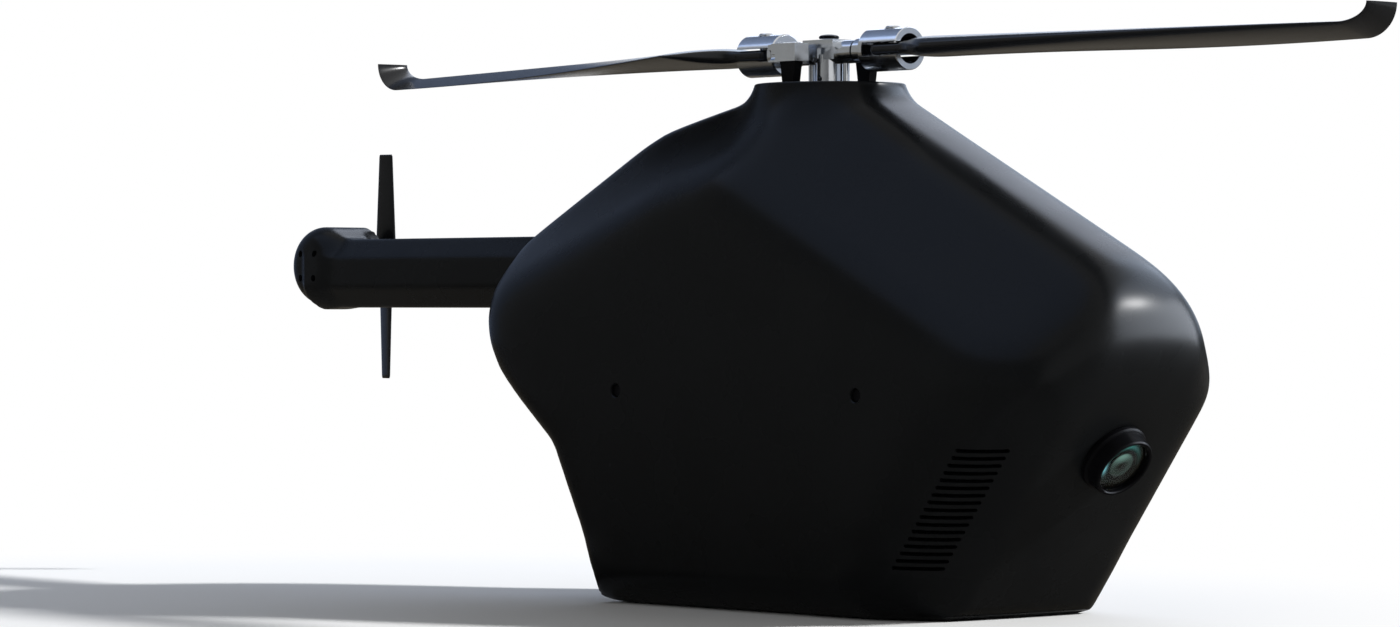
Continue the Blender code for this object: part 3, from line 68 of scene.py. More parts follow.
right = np.array((np.cos(CAMERA_BEARING), np.sin(CAMERA_BEARING), 0.0))
forward = np.array((-np.sin(CAMERA_BEARING), np.cos(CAMERA_BEARING), 0.0))
up = np.array((0.0, 0.0, 1.0))
eye = -forward * CAMERA_DISTANCE + up * CAMERA_HEIGHT
aim = forward * FOCAL_PIXELS + right * (IMAGE_WIDTH / 2 - LEVEL_PIXEL[0])
aim = aim + up * (LEVEL_PIXEL[1] - IMAGE_HEIGHT / 2)

lens_settings = bpy.data.cameras.new("camera")
lens_settings.sensor_width = SENSOR_MM
lens_settings.lens = SENSOR_MM * FOCAL_PIXELS / IMAGE_WIDTH
lens_settings.clip_start = 0.01
camera = bpy.data.objects.new("camera", lens_settings)
camera.location = eye
camera.rotation_euler = Vector(aim).to_track_quat("-Z", "Y").to_euler()
scene.collection.objects.link(camera)
scene.camera = camera
print(f"camera: {lens_settings.lens:.0f} mm lens at {eye.round(3)}")

# %% [markdown]
# Small helpers serve every finish. Colours are written as people read them, in sRGB hex, and Blender
# wants linear light, so one function converts them. Another adds a shader node, sets its options,
# and either links a socket or sets its value. The last lets patterns choose the colour and the
# gloss, which is what all of the drone's finishes but glass have in common.


# %% Helpers for finishes
def linear(hex_colour):
    """sRGB to linear light: a straight line near black, and a 2.4 power curve above it."""
    raw = np.array([int(hex_colour[i : i + 2], 16) for i in (1, 3, 5)]) / 255
    curve = np.where(raw <= 0.04045, raw / 12.92, ((raw + 0.055) / 1.055) ** 2.4)
    return (*curve, 1.0)


def add_node(tree, kind, inputs=None, **options):
    """Add one node. Inputs that are sockets are linked, and other inputs are set as values."""
    node = tree.nodes.new(kind)
    for name, value in options.items():
        setattr(node, name, value)
    for key, value in (inputs or {}).items():
        if isinstance(value, bpy.types.NodeSocket):
            tree.links.new(value, node.inputs[key])
        else:
            node.inputs[key].default_value = value
    return node


def new_finish(name, values=None):
    """A node material, its tree and its Principled shader, with plain values set on the shader."""
    made = bpy.data.materials.new(name)
    made.use_nodes = True
    shader = made.node_tree.nodes["Principled BSDF"]
    for key, value in (values or {}).items():
        shader.inputs[key].default_value = value
    return made, made.node_tree, shader


def vary(tree, shader, clouds, colours, lines, gloss, span=(0.0, 1.0)):
    """One pattern mixes two colours, and another, between two of its levels, two roughness values."""
    dark, pale = (linear(colour) for colour in colours)
    tint = add_node(tree, "ShaderNodeMix", {"Factor": clouds, "A": dark, "B": pale}, data_type="RGBA")
    levels = {"From Min": span[0], "From Max": span[1], "To Min": gloss[0], "To Max": gloss[1]}
    sheen = add_node(tree, "ShaderNodeMapRange", {"Value": lines, **levels})
    tree.links.new(tint.outputs["Result"], shader.inputs["Base Color"])
    tree.links.new(sheen.outputs["Result"], shader.inputs["Roughness"])


BUMP_HEIGHT = 0.02 * MM
finishes = {}

# %% [markdown]
# The pod, boom and belly are moulded nylon with a soft satin black coat. Such a coat is almost
# black, has a wide soft gloss, and is never quite even: broad patches of slightly different gloss
# from the spray, and a fine grain from the mould. One noise 14 mm wide varies colour and gloss, and
# one of 0.35 mm gives the grain as a bump. Real grain is finer and is drawn this coarse so that it
# shows. Plastic has an IOR near 1.5, but this coat mirrors far less where it is seen head on, so its
# value is lower, matched to how dark the flat sides stay beside the bright edges.


# %% Satin moulded black
PATCH_WIDTH = 14 * MM
GRAIN_WIDTH = 0.35 * MM


def satin_black(name, dark, pale, gloss, ior, specular):
    """Coated moulding: patchy colour and gloss from wide noise, bump from fine noise."""
    made, tree, shader = new_finish(name, {"IOR": ior, "Specular IOR Level": specular})
    place = add_node(tree, "ShaderNodeTexCoord").outputs["Object"]
    patch = add_node(tree, "ShaderNodeTexNoise", {"Vector": place, "Scale": 1 / PATCH_WIDTH, "Detail": 3.0})
    grain = add_node(tree, "ShaderNodeTexNoise", {"Vector": place, "Scale": 1 / GRAIN_WIDTH, "Detail": 2.0})
    patch, grain = patch.outputs["Fac"], grain.outputs["Fac"]
    bump = add_node(tree, "ShaderNodeBump", {"Height": grain, "Strength": 0.12, "Distance": BUMP_HEIGHT})
    vary(tree, shader, patch, (dark, pale), patch, gloss, (0.3, 0.7))
    tree.links.new(bump.outputs["Normal"], shader.inputs["Normal"])
    return made


finishes["moulded_black"] = satin_black("satin_coated_nylon", "#111213", "#161718", (0.25, 0.3), 1.15, 0.5)
finishes["gloss_black"] = satin_black("gloss_black_acetal", "#08080a", "#0c0c0e", (0.26, 0.32), 1.12, 0.4)
finishes["circuit_case"] = satin_black("black_case_plastic", "#151a18", "#1c211f", (0.45, 0.55), 1.5, 0.4)
finishes["battery_wrap"] = satin_black("shrink_wrap", "#1a2140", "#222a50", (0.25, 0.35), 1.5, 0.5)
print("coated plastics:", sorted(finishes))

# %% [markdown]
# The blades are long-fibre nylon. The fibres lie along the blade, so the noise is stretched: 30 mm
# long and 0.6 mm wide. That gives faint streaks in the gloss, which is what tells a filled
# moulding from paint.


# %% Fibre-filled blade plastic
FIBRE_LENGTH = 30 * MM
FIBRE_WIDTH = 0.6 * MM


def fibre_black():
    """Streaks along X: noise that is narrow across the blade and long along it."""
    made, tree, shader = new_finish("fibre_filled_nylon", {"IOR": 1.3, "Specular IOR Level": 0.5})
    place = add_node(tree, "ShaderNodeTexCoord").outputs["Object"]
    per_fibre = (1 / FIBRE_LENGTH, 1 / FIBRE_WIDTH, 1 / FIBRE_WIDTH)
    place = add_node(tree, "ShaderNodeMapping", {"Vector": place, "Scale": per_fibre}).outputs["Vector"]
    streak = add_node(tree, "ShaderNodeTexNoise", {"Vector": place, "Scale": 1.0, "Detail": 3.0})
    streak = streak.outputs["Fac"]
    bump = add_node(tree, "ShaderNodeBump", {"Height": streak, "Strength": 0.08, "Distance": BUMP_HEIGHT})
    vary(tree, shader, streak, ("#131416", "#1a1b1d"), streak, (0.2, 0.27))
    tree.links.new(bump.outputs["Normal"], shader.inputs["Normal"])
    return made


finishes["blade_composite"] = fibre_black()

# %% [markdown]
# The head is turned and milled aluminium, the mast and pins are ground steel, and the screws are
# steel with a black oxide skin. A cutter leaves fine parallel lines, which spread the gloss a
# little along one direction. The lines are 0.2 mm apart, coarser than real ones so that they show.
# A wave node makes twenty radians per unit, so its scale is a full turn over twenty line widths.


# %% Machined metals
CUTTER_LINE = 0.2 * MM
CLOUD_WIDTH = 3 * MM


def machined_metal(name, dark, pale, gloss):
    """Metal with cutter lines: bands in the gloss 0.2 mm apart, plus cloudy colour."""
    made, tree, shader = new_finish(name, {"Metallic": 1.0})
    place = add_node(tree, "ShaderNodeTexCoord").outputs["Object"]
    lines = add_node(
        tree,
        "ShaderNodeTexWave",
        {"Vector": place, "Scale": 2 * np.pi / (20 * CUTTER_LINE), "Distortion": 1.5, "Detail": 2.0},
        bands_direction="X",
    )
    cloud = add_node(tree, "ShaderNodeTexNoise", {"Vector": place, "Scale": 1 / CLOUD_WIDTH, "Detail": 3.0})
    vary(tree, shader, cloud.outputs["Fac"], (dark, pale), lines.outputs["Fac"], gloss)
    return made


finishes["aluminium"] = machined_metal("machined_aluminium", "#b6b9bd", "#c9ccd0", (0.16, 0.21))
finishes["steel"] = machined_metal("ground_steel", "#a9abae", "#babdc0", (0.2, 0.3))
finishes["dark_steel"] = machined_metal("black_oxide_steel", "#0e0e10", "#17171a", (0.4, 0.5))
finishes["copper"] = machined_metal("enamelled_copper_winding", "#8a4a26", "#b3683a", (0.25, 0.4))

# %% [markdown]
# The frame plates and shelves inside are cut from carbon sheet. Its cloth is a check of tows about
# 2 mm wide that catch the light in turn, so a checker of two near-blacks with two gloss values
# stands for it.


# %% Carbon sheet
TOW_WIDTH = 2 * MM


def carbon_sheet():
    """Checker with 2 mm squares that switches both the grey and the gloss."""
    made, tree, shader = new_finish("carbon_sheet")
    place = add_node(tree, "ShaderNodeTexCoord").outputs["Object"]
    tows = add_node(tree, "ShaderNodeTexChecker", {"Vector": place, "Scale": 1 / TOW_WIDTH})
    tows = tows.outputs["Fac"]
    vary(tree, shader, tows, ("#26282b", "#1a1b1d"), tows, (0.3, 0.45))
    return made


finishes["composite"] = carbon_sheet()

# %% [markdown]
# The camera's front element is clear glass. Glass hardly shows by itself: what is seen is a faint
# reflection and the dark behind it, so it is a plain transmitting shader with a wiped surface.
# The inner element's base colour carries painted reflections: teal near the rim, a pale cyan glint,
# and grey-green in the middle. This colour is stored on the points of that element, so here it is
# only read back.


# %% Lens glass
def wiped_gloss(tree, shader, low, high):
    """Gloss that varies as if wiped with a cloth: noise 2 mm wide between two roughness values."""
    place = add_node(tree, "ShaderNodeTexCoord").outputs["Object"]
    wipe = add_node(tree, "ShaderNodeTexNoise", {"Vector": place, "Scale": 1 / (2 * MM), "Detail": 2.0})
    gloss = add_node(
        tree, "ShaderNodeMapRange", {"Value": wipe.outputs["Fac"], "To Min": low, "To Max": high}
    )
    tree.links.new(gloss.outputs["Result"], shader.inputs["Roughness"])


clear = {"Base Color": linear("#f2f7f5"), "IOR": 1.08, "Transmission Weight": 1.0}
glass, tree, shader = new_finish("clear_lens_glass", clear)
wiped_gloss(tree, shader, 0.01, 0.04)
finishes["coated_glass"] = glass

dull = {"IOR": 1.15, "Specular IOR Level": 0.3}
painted_lens_material, tree, shader = new_finish("inner_glass_painted_reflections", dull)
wiped_gloss(tree, shader, 0.06, 0.12)
# The base colour is painted reflections, read from the points of the inner element.
reflection_attribute = add_node(tree, "ShaderNodeAttribute", attribute_name="painted_reflections")
tree.links.new(reflection_attribute.outputs["Color"], shader.inputs["Base Color"])
finishes["inner_glass"] = painted_lens_material

subparts = frame["record"]["subparts"]
for part in subparts:
    frame["nodes"][part["node"]].material_slots[0].material = finishes[part["material_slot"]]
print(f"finishes: {len(finishes)} on {len(subparts)} solids")

# %% [markdown]
# Every new surface is a grid of points worked out at once with numpy: rows run along a piece and
# columns run round it. The helpers below turn such grids into a closed mesh. The first and last
# row are drawn to their middle, so the ends are closed, and doubled points are merged. What comes in
# pairs is made once and then mirrored or turned half round.


# %% Helpers for surfaces
SHARP = np.radians(32.0)
MIRROR = np.array((1, -1, 1))
HALF_TURN = np.array((-1, -1, 1))
ENDS = (("front", 1), ("rear", HALF_TURN))


def capped(grid):
    """Add a first and a last row at the middle of the end rows, which closes the ends."""
    first, last = (np.broadcast_to(row.mean(axis=0), row.shape)[None] for row in (grid[0], grid[-1]))
    return np.concatenate([first, grid, last])


def looped(grid):
    """Repeat the first row at the end, which closes a ring of rows."""
    return np.concatenate([grid, grid[:1]])


def surface(name, *grids):
    """One object from grids of points (rows, columns, 3), whose columns run round and close."""
    corners, faces, start = [], [], 0
    for grid in grids:
        rows, columns, _ = grid.shape
        index = start + np.arange(rows * columns).reshape(rows, columns)
        beside = np.roll(index, -1, axis=1)
        quads = np.stack([index[:-1], beside[:-1], beside[1:], index[1:]], axis=-1)
        corners.append(grid.reshape(-1, 3))
        faces.append(quads.reshape(-1, 4))
        start += rows * columns
    mesh = bpy.data.meshes.new(name)
    mesh.from_pydata(np.concatenate(corners), [], np.concatenate(faces), shade_flat=False)
    shape = bmesh.new()
    shape.from_mesh(mesh)
    bmesh.ops.remove_doubles(shape, verts=shape.verts, dist=0.001 * MM)
    bmesh.ops.dissolve_degenerate(shape, edges=shape.edges, dist=0.0005 * MM)
    bmesh.ops.recalc_face_normals(shape, faces=shape.faces)
    shape.to_mesh(mesh)
    shape.free()
    made = bpy.data.objects.new(name, mesh)
    scene.collection.objects.link(made)
    return made


def combine(target, tool, operation):
    """Join or cut with a Boolean modifier, keep the result as plain mesh and drop the tool."""
    change = target.modifiers.new(operation, "BOOLEAN")
    change.operation = operation
    change.object = tool
    evaluated = target.evaluated_get(bpy.context.evaluated_depsgraph_get())
    target.data = bpy.data.meshes.new_from_object(evaluated)
    target.modifiers.clear()
    bpy.data.objects.remove(tool)


def shaped(name, base, adds=(), cuts=(), facing=1):
    """A piece from a grid, turned as asked, with some grids joined to it, then others cut from it."""
    made = surface(name, base * facing)
    for grids, operation in ((adds, "UNION"), (cuts, "DIFFERENCE")):
        for grid in grids:
            combine(made, surface("tool", grid * facing), operation)
    return made


def dress(piece, body, slot, *nodes, edge=0.0, finish=None):
    """Smooth a piece, break its edges, give it its finish, and tie it to its body and solids."""
    piece.data.shade_smooth()
    piece.data.set_sharp_from_angle(angle=SHARP)
    piece.data.materials.clear()
    piece.data.materials.append(finishes[finish or slot])
    if edge:
        bevel = piece.modifiers.new("broken_edges", "BEVEL")
        bevel.width = edge
        bevel.segments = 2
        bevel.limit_method = "ANGLE"
        bevel.angle_limit = SHARP
        bevel.harden_normals = True
    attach(piece, body)
    if nodes:
        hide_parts(*nodes)
    print(f"{piece.name}: {len(piece.data.polygons)} faces on {body}")


def circle(count):
    """Angles evenly round a circle, half a step off the axes."""
    return (np.arange(count) + 0.5) * 2 * np.pi / count


def turned(profile, place, count=64):
    """Spin (radius, height) pairs about the third axis of a 4 by 4 placement."""
    radius, height = np.array(profile, float).T[..., None]
    turn = circle(count)
    local = np.stack([radius * np.cos(turn), radius * np.sin(turn), height + 0 * turn], axis=-1)
    return local @ place[:3, :3].T + place[:3, 3]


def rod(radius, start, end, place, count=64):
    """A closed round bar between two heights along the third axis of a placement."""
    return capped(turned([(radius, start), (radius, end)], place, count))


def axis_place(axis, point):
    """A placement at a point whose third axis runs along X, Y or Z."""
    order = {"X": (1, 2, 0), "Y": (2, 0, 1), "Z": (0, 1, 2)}[axis]
    place = np.eye(4)
    place[:3, :3] = np.eye(3)[list(order)].T
    place[:3, 3] = point
    return place


def smoothstep(value, start, end):
    """Zero before start, one after end, and an S-shaped rise between them."""
    share = np.clip((value - start) / (end - start), 0, 1)
    return share * share * (3 - 2 * share)


def skin(points_at, distance, shape, farthest, halvings):
    """Points where rays leave a shape: halve the span from inside to outside, all rays at once."""
    low = np.zeros(shape)
    high = np.full(shape, farthest)
    for _ in range(halvings):
        middle = (low + high) / 2
        outside = distance(*points_at(middle)) > 0
        high = np.where(outside, middle, high)
        low = np.where(outside, low, middle)
    return np.stack(points_at(low), axis=-1)


# %% [markdown]
# The pod is a one-piece shell of flat facets whose edges are all rounded. Bevelled boxes come out
# lumpy where many rounded edges meet, so the pod is written as a distance instead: each facet is
# a plane, a point's distance is that of the farthest plane, and where two planes meet the distance
# bends round a fillet of a given radius. The skin is then found along rays from the mast axis, by
# halving the span between a point inside and a point outside, for all rays together. A fillet starts
# abruptly where a flat ends, and gloss shows that as a line, so the grid is softened afterwards.

# %% The pod's facets
POD_HALF_WIDTH = 33.8 * MM
POD_WALL = 2.0 * MM
PANEL_TOP_FRONT = (0.5 * MM, 93.0 * MM)
PANEL_NOSE = (81.0 * MM, 52.9 * MM)
PANEL_BEND_FOOT = (40.4 * MM, 0.0)
PANEL_REAR_FOOT = (-42.9 * MM, 0.0)
PANEL_KINK = (-59.7 * MM, 34.6 * MM)
PANEL_REAR = (-94.2 * MM, 62.4 * MM)
PANEL_TOP_REAR = (-21.0 * MM, 90.0 * MM)
VENT_FACET_TURN = np.radians(27.0)
REAR_FACE_X = -88.0 * MM
LENS_POINT = (87.0 * MM, 35.4 * MM)
NOSE_SLOPE = 0.73
BAND_POINT = (31.1 * MM, 106.9 * MM)
BAND_SLOPE = 0.5
BAND_HALF_WIDTH = 9.2 * MM
REAR_BAND_START = (-18.0 * MM, 112.6 * MM)
REAR_BAND_FOLD = (-47.0 * MM, 106.4 * MM)
REAR_BAND_END = (-82.5 * MM, 83.3 * MM)
REAR_BAND_HALF_WIDTH = 10.0 * MM
COLLAR_RADIUS = 16.2 * MM
COLLAR_TOP = 116.2 * MM
COLLAR_FLARE = 6.2 * MM
KINK_FILLET = 1.2 * MM
PANEL_EDGE, BEND, RIDGE, BROW, NOSE = 15.0 * MM, 22.0 * MM, 11.0 * MM, 20.0 * MM, 12.0 * MM
REAR_EDGE, HAUNCH, HEEL_EDGE, BELLY_EDGE = 9.0 * MM, 13.5 * MM, 7.0 * MM, 8.0 * MM
BELLY_LIP = 4.0 * MM
CROWN = {"band": 0.6 * MM / BAND_HALF_WIDTH**2, "front": 1.0 * MM / (25 * MM) ** 2}
POD_MIDDLE = np.array((0, 0, 47.8 * MM))


def plane_through(first, second, third):
    """Unit normal and offset of the plane through three points, facing away from the middle."""
    first, second, third = (np.array(point, float) for point in (first, second, third))
    normal = np.cross(second - first, third - first)
    normal /= np.linalg.norm(normal)
    facing = 1 if normal @ (first - POD_MIDDLE) > 0 else -1
    return facing * normal, facing * normal @ first


def set_out(corner, half_width=POD_HALF_WIDTH):
    """An (X, Z) corner set out to one side, as far as the side panel unless told otherwise."""
    return (corner[0], half_width, corner[1])


def across(first, second):
    """The plane straight across the pod through two (X, Z) points."""
    return plane_through(set_out(first, 0), set_out(second, 0), set_out(first, MM))


turned_in = (
    PANEL_NOSE[0] + np.cos(VENT_FACET_TURN) * MM,
    POD_HALF_WIDTH - np.sin(VENT_FACET_TURN) * MM,
    PANEL_NOSE[1],
)
rear_ridge = set_out(REAR_BAND_FOLD, REAR_BAND_HALF_WIDTH)
collar_ridge = set_out(REAR_BAND_START, REAR_BAND_HALF_WIDTH)
front_ridge = set_out(BAND_POINT, BAND_HALF_WIDTH)
FACETS = {
    "side": (np.array((0.0, 1.0, 0.0)), POD_HALF_WIDTH),
    "belly": (np.array((0.0, 0.0, -1.0)), 0.0),
    "front": across(LENS_POINT, (LENS_POINT[0] + NOSE_SLOPE * MM, LENS_POINT[1] + MM)),
    "vent": plane_through(set_out(PANEL_NOSE), set_out(PANEL_BEND_FOOT), turned_in),
    "band": across(BAND_POINT, (BAND_POINT[0] + MM, BAND_POINT[1] - BAND_SLOPE * MM)),
    "chamfer": plane_through(set_out(PANEL_TOP_FRONT), set_out(PANEL_NOSE), front_ridge),
    "shoulder": plane_through(set_out(PANEL_TOP_REAR), rear_ridge, collar_ridge),
    "quarter": plane_through(set_out(PANEL_TOP_REAR), set_out(PANEL_REAR), rear_ridge),
    "rear_band": across(REAR_BAND_START, REAR_BAND_FOLD),
    "tail_band": across(REAR_BAND_FOLD, REAR_BAND_END),
    "rear": (np.array((-1.0, 0.0, 0.0)), -REAR_FACE_X),
    "haunch": across(PANEL_KINK, PANEL_REAR),
    "heel": across(PANEL_REAR_FOOT, PANEL_KINK),
}
FILLETS = {
    PANEL_EDGE: "side-chamfer side-shoulder side-quarter chamfer-shoulder shoulder-quarter vent-chamfer",
    BEND: "side-vent rear_band-tail_band",
    RIDGE: "chamfer-band shoulder-rear_band quarter-tail_band",
    BROW: "band-front",
    NOSE: "chamfer-front vent-front",
    REAR_EDGE: "side-rear quarter-rear tail_band-rear haunch-rear",
    HAUNCH: "quarter-haunch",
    HEEL_EDGE: "haunch-side",
    BELLY_EDGE: "heel-belly side-belly vent-belly front-belly",
}


# %% The pod's distance and its skin round the mast
POD_REACH = 0.2
SOFT_POINTS = 7
SOFT_WIDTH = 2.6
SOFT_ABOVE_FOOT = (8 * MM, 18 * MM)
SOFT_BELOW_COLLAR = (103 * MM, 111 * MM)
SOFT_ABOVE_CREASE = (44 * MM, 56 * MM)
SOFT_BEFORE_CREASE = (PANEL_KINK[0], PANEL_KINK[0] + 20 * MM)


def blended_min(first, second, reach):
    """The smaller of two distances, less a parabola where they are nearly equal: a hollow blend."""
    near = np.maximum(reach - np.abs(first - second), 0.0) / reach
    return np.minimum(first, second) - 0.25 * reach * near**2


def rounded_edge(first, second, cosine, radius):
    """Distance to two planes with a round edge, measured from the fillet's centre line inside."""
    a = first + radius
    b = second + radius
    corner = (a > b * cosine) & (b > a * cosine)
    ridge = np.sqrt(np.maximum(a * a + b * b - 2 * a * b * cosine, 0.0) / (1 - cosine * cosine))
    return np.where(corner, ridge, np.maximum(a, b)) - radius


def pod_distance(x, y, z, belly):
    """How far points lie outside the pod: farthest facet, round edges, the collar's hollow flare."""
    far = {n: v[0] * x + v[1] * np.abs(y) + v[2] * z - offset for n, (v, offset) in FACETS.items()}
    for name, bulge in CROWN.items():
        far[name] = far[name] + bulge * y * y
    if not belly:
        far["belly"] = np.full_like(z, REAR_FACE_X)
    far["haunch"] = far["heel"] = blended_min(far["haunch"], far["heel"], KINK_FILLET)
    distance = np.max(np.stack(list(far.values())), axis=0)
    for radius, pairs in FILLETS.items():
        for pair in pairs.split():
            first, second = pair.split("-")
            cosine = float(FACETS[first][0] @ FACETS[second][0])
            distance = np.maximum(distance, rounded_edge(far[first], far[second], cosine, radius))
    return blended_min(distance, np.hypot(x, y) - COLLAR_RADIUS, COLLAR_FLARE)


def pod_rings(turns, heights, inset, belly=True):
    """Points on the skin, drawn in by an inset, for every height and every turn about the mast."""
    turn, height = np.meshgrid(turns, heights)

    def points_at(away):
        return away * np.cos(turn), away * np.sin(turn), height

    def distance(x, y, z):
        return pod_distance(x, y, z, belly) + inset

    return skin(points_at, distance, turn.shape, POD_REACH, 34)


def softened(rings):
    """Average every point with its neighbours by a bell curve along both ways of the grid.

    Flats stay flat, and round edges start and end gently. The foot, the collar and the crease above
    the heel are left alone.
    """
    offsets = np.arange(-SOFT_POINTS, SOFT_POINTS + 1)
    weights = np.exp(-0.5 * (offsets / SOFT_WIDTH) ** 2)
    weights = weights / weights.sum()
    padded = np.pad(rings, ((SOFT_POINTS, SOFT_POINTS), (0, 0), (0, 0)), mode="edge")
    starts = SOFT_POINTS + offsets
    soft = sum(w * padded[start : start + len(rings)] for start, w in zip(starts, weights))
    soft = sum(w * np.roll(soft, step, axis=1) for step, w in zip(offsets, weights))
    height = rings[..., 2:]
    share = smoothstep(height, *SOFT_ABOVE_FOOT) * (1 - smoothstep(height, *SOFT_BELOW_COLLAR))
    behind = 1 - smoothstep(rings[..., :1], *SOFT_BEFORE_CREASE)
    share = share * (1 - behind * (1 - smoothstep(height, *SOFT_ABOVE_CREASE)))
    return rings + share * (soft - rings)


# %% The pod's shell
POD_COLUMNS = 312
RIM = 0.5 * MM

even = circle(POD_COLUMNS)
turns = np.arctan2(POD_HALF_WIDTH * np.sin(even), -REAR_FACE_X * np.cos(even))
foot_heights = BELLY_EDGE * (1 - np.cos(np.linspace(0, np.pi / 2, 18)))
outer_heights = np.concatenate([foot_heights[:-1], np.linspace(BELLY_EDGE, COLLAR_TOP - RIM, 130)])
inner_heights = np.linspace(COLLAR_TOP - RIM, POD_WALL + 0.3 * MM, 34)
outer = softened(pod_rings(turns, outer_heights, 0.0))
inner = pod_rings(turns, inner_heights, POD_WALL)
lean_in = np.linspace(0, np.pi / 2, 5)[1:]
rim_out = pod_rings(turns, np.full(4, COLLAR_TOP - RIM), 0.0)
rim_out *= (1 - (RIM / COLLAR_RADIUS) * (1 - np.cos(lean_in)))[:, None, None]
rim_out[..., 2] = (COLLAR_TOP - RIM + RIM * np.sin(lean_in))[:, None]
lip = pod_rings(turns, np.zeros(1), BELLY_EDGE + BELLY_LIP, belly=False)
lip_top = lip + np.array((0, 0, POD_WALL))
pod = surface("pod_skin", looped(np.concatenate([outer, rim_out, inner, lip_top, lip])))
print(f"pod: {len(pod.data.polygons)} faces before its holes")

# %% [markdown]
# Air leaves the pod through 17 slots in each cheek. On the real shell they are pins in the mould,
# so they have round ends and straight walls. A slot outline is two half circles, carried along the
# cheek's normal, and the stack leans with the edge of the nose. All holes are cut in one go.

# %% Holes in the pod
VENT_COUNT = 17
VENT_LENGTH = 11.8 * MM
VENT_HEIGHT = 0.85 * MM
VENT_PITCH = 1.66 * MM
VENT_LEAN = 0.64
VENT_CENTRE = (68.1 * MM, 24.0 * MM)
LENS_STEM_RADIUS = 6.0 * MM
BOOM_Z = 74.7 * MM
SCREW_X = (44.2 * MM, -33.9 * MM)
SCREW_Z = 47.8 * MM
SCREW_HOLE = 1.5 * MM
SCREW_DEPTH = 1.4 * MM
SCREW_BEVEL = 0.3 * MM
BOOM_HOLE = 9.5 * MM

vent_out, vent_offset = FACETS["vent"]
vent_run = np.array((np.cos(VENT_FACET_TURN), -np.sin(VENT_FACET_TURN), 0.0))
vent_rise = np.cross(vent_out, vent_run)
vent_rise *= np.sign(vent_rise[2])
vent_middle = np.array(set_out(VENT_CENTRE, 0.0))
vent_middle[1] = (vent_offset - vent_out @ vent_middle) / vent_out[1]
slot_turn = circle(24)
half_straight = (VENT_LENGTH - VENT_HEIGHT) / 2
slot_run = VENT_HEIGHT / 2 * np.cos(slot_turn) + half_straight * np.sign(np.cos(slot_turn))
slot_rise = VENT_HEIGHT / 2 * np.sin(slot_turn)
slot_ring = slot_run[:, None] * vent_run + slot_rise[:, None] * vent_rise
slot = capped(np.stack([slot_ring - 2 * POD_WALL * vent_out, slot_ring + 2 * POD_WALL * vent_out]))
steps = (np.arange(VENT_COUNT) - (VENT_COUNT - 1) / 2) * VENT_PITCH
slots = [slot + vent_middle + step * (vent_rise + VENT_LEAN * vent_run) for step in steps]
slots += [grid * MIRROR for grid in slots]

lens_out = FACETS["front"][0]
lens_place = np.eye(4)
lens_axes = [(0, 1, 0), np.cross(lens_out, (0, 1, 0)), lens_out]
lens_place[:3] = np.column_stack([*lens_axes, set_out(LENS_POINT, 0)])
lens_bore = LENS_STEM_RADIUS + 0.3 * MM
lens_hole = rod(lens_bore, -4 * POD_WALL, 4 * POD_WALL, lens_place)
boom_hole = rod(BOOM_HOLE, -8 * MM, 18 * MM, axis_place("X", (REAR_FACE_X, 0, BOOM_Z)))
screw_floor = POD_HALF_WIDTH - SCREW_DEPTH
screw_hole = [(MM, screw_floor - POD_WALL), (MM, screw_floor), (SCREW_HOLE, screw_floor)]
screw_mouth = SCREW_HOLE + SCREW_BEVEL
screw_hole += [(SCREW_HOLE, POD_HALF_WIDTH - 0.2 * MM), (screw_mouth, POD_HALF_WIDTH + 0.1 * MM)]
screw_hole += [(screw_mouth, POD_HALF_WIDTH + MM)]
side_holes = [capped(turned(screw_hole, axis_place("Y", (x, 0, SCREW_Z)), 40)) for x in SCREW_X]
side_holes += [grid * MIRROR for grid in side_holes]
combine(pod, surface("pod_holes", *slots, *side_holes, lens_hole, boom_hole), "DIFFERENCE")
dress(pod, "airframe", "moulded_black", "pod_shell")

# %% [markdown]
# The camera looks out of the nose through a threaded lens: a black ring on the pod's skin, a
# tapered rim, and a domed front element. What makes a lens look deep is what lies behind the
# glass, so a second element, with reflections painted on it, stands inside it. All of them are
# profiles spun about the lens axis. The painted reflections are a sum of soft bumps in radius and
# angle, set on the points as colour.

# %% The lens
LENS_GLASS = 6.1 * MM
GLASS_AXIS = 0.05 * MM
barrel_profile = [(5.0, -7.0), (6.0, -7.0), (6.0, 0.3), (7.8, 0.3), (8.0, 0.5), (8.0, 1.2), (7.75, 1.5)]
barrel_profile += [(7.4, 1.7), (7.1, 4.5), (6.85, 4.8), (6.4, 4.8), (6.2, 4.6), (6.2, 1.4), (5.0, 1.4)]
barrel = surface("lens_ring", looped(turned(np.array(barrel_profile) * MM, lens_place, 96)))
dress(barrel, "airframe", "gloss_black", "lens_barrel")


def dome(rim, axis, count, foot, rise):
    """(radius, height) pairs from a rim in to the axis, on a paraboloid of a given rise."""
    radius = np.linspace(rim, axis, count)
    return np.column_stack([radius, foot + rise * (1 - (radius / rim) ** 2)])


glass_back = dome(LENS_GLASS, GLASS_AXIS, 12, 3.5 * MM, 0.45 * MM)[::-1]
glass_profile = np.concatenate([glass_back, dome(LENS_GLASS, GLASS_AXIS, 20, 4.0 * MM, 0.8 * MM)])
front_glass = surface("front_element", capped(turned(glass_profile, lens_place, 96)))
dress(front_glass, "airframe", "coated_glass", "lens_glass")


# %% The inner element with painted reflections
INNER_GLASS = 5.95 * MM
INNER_AXIS = 0.02 * MM
INNER_BACK = 2.3 * MM


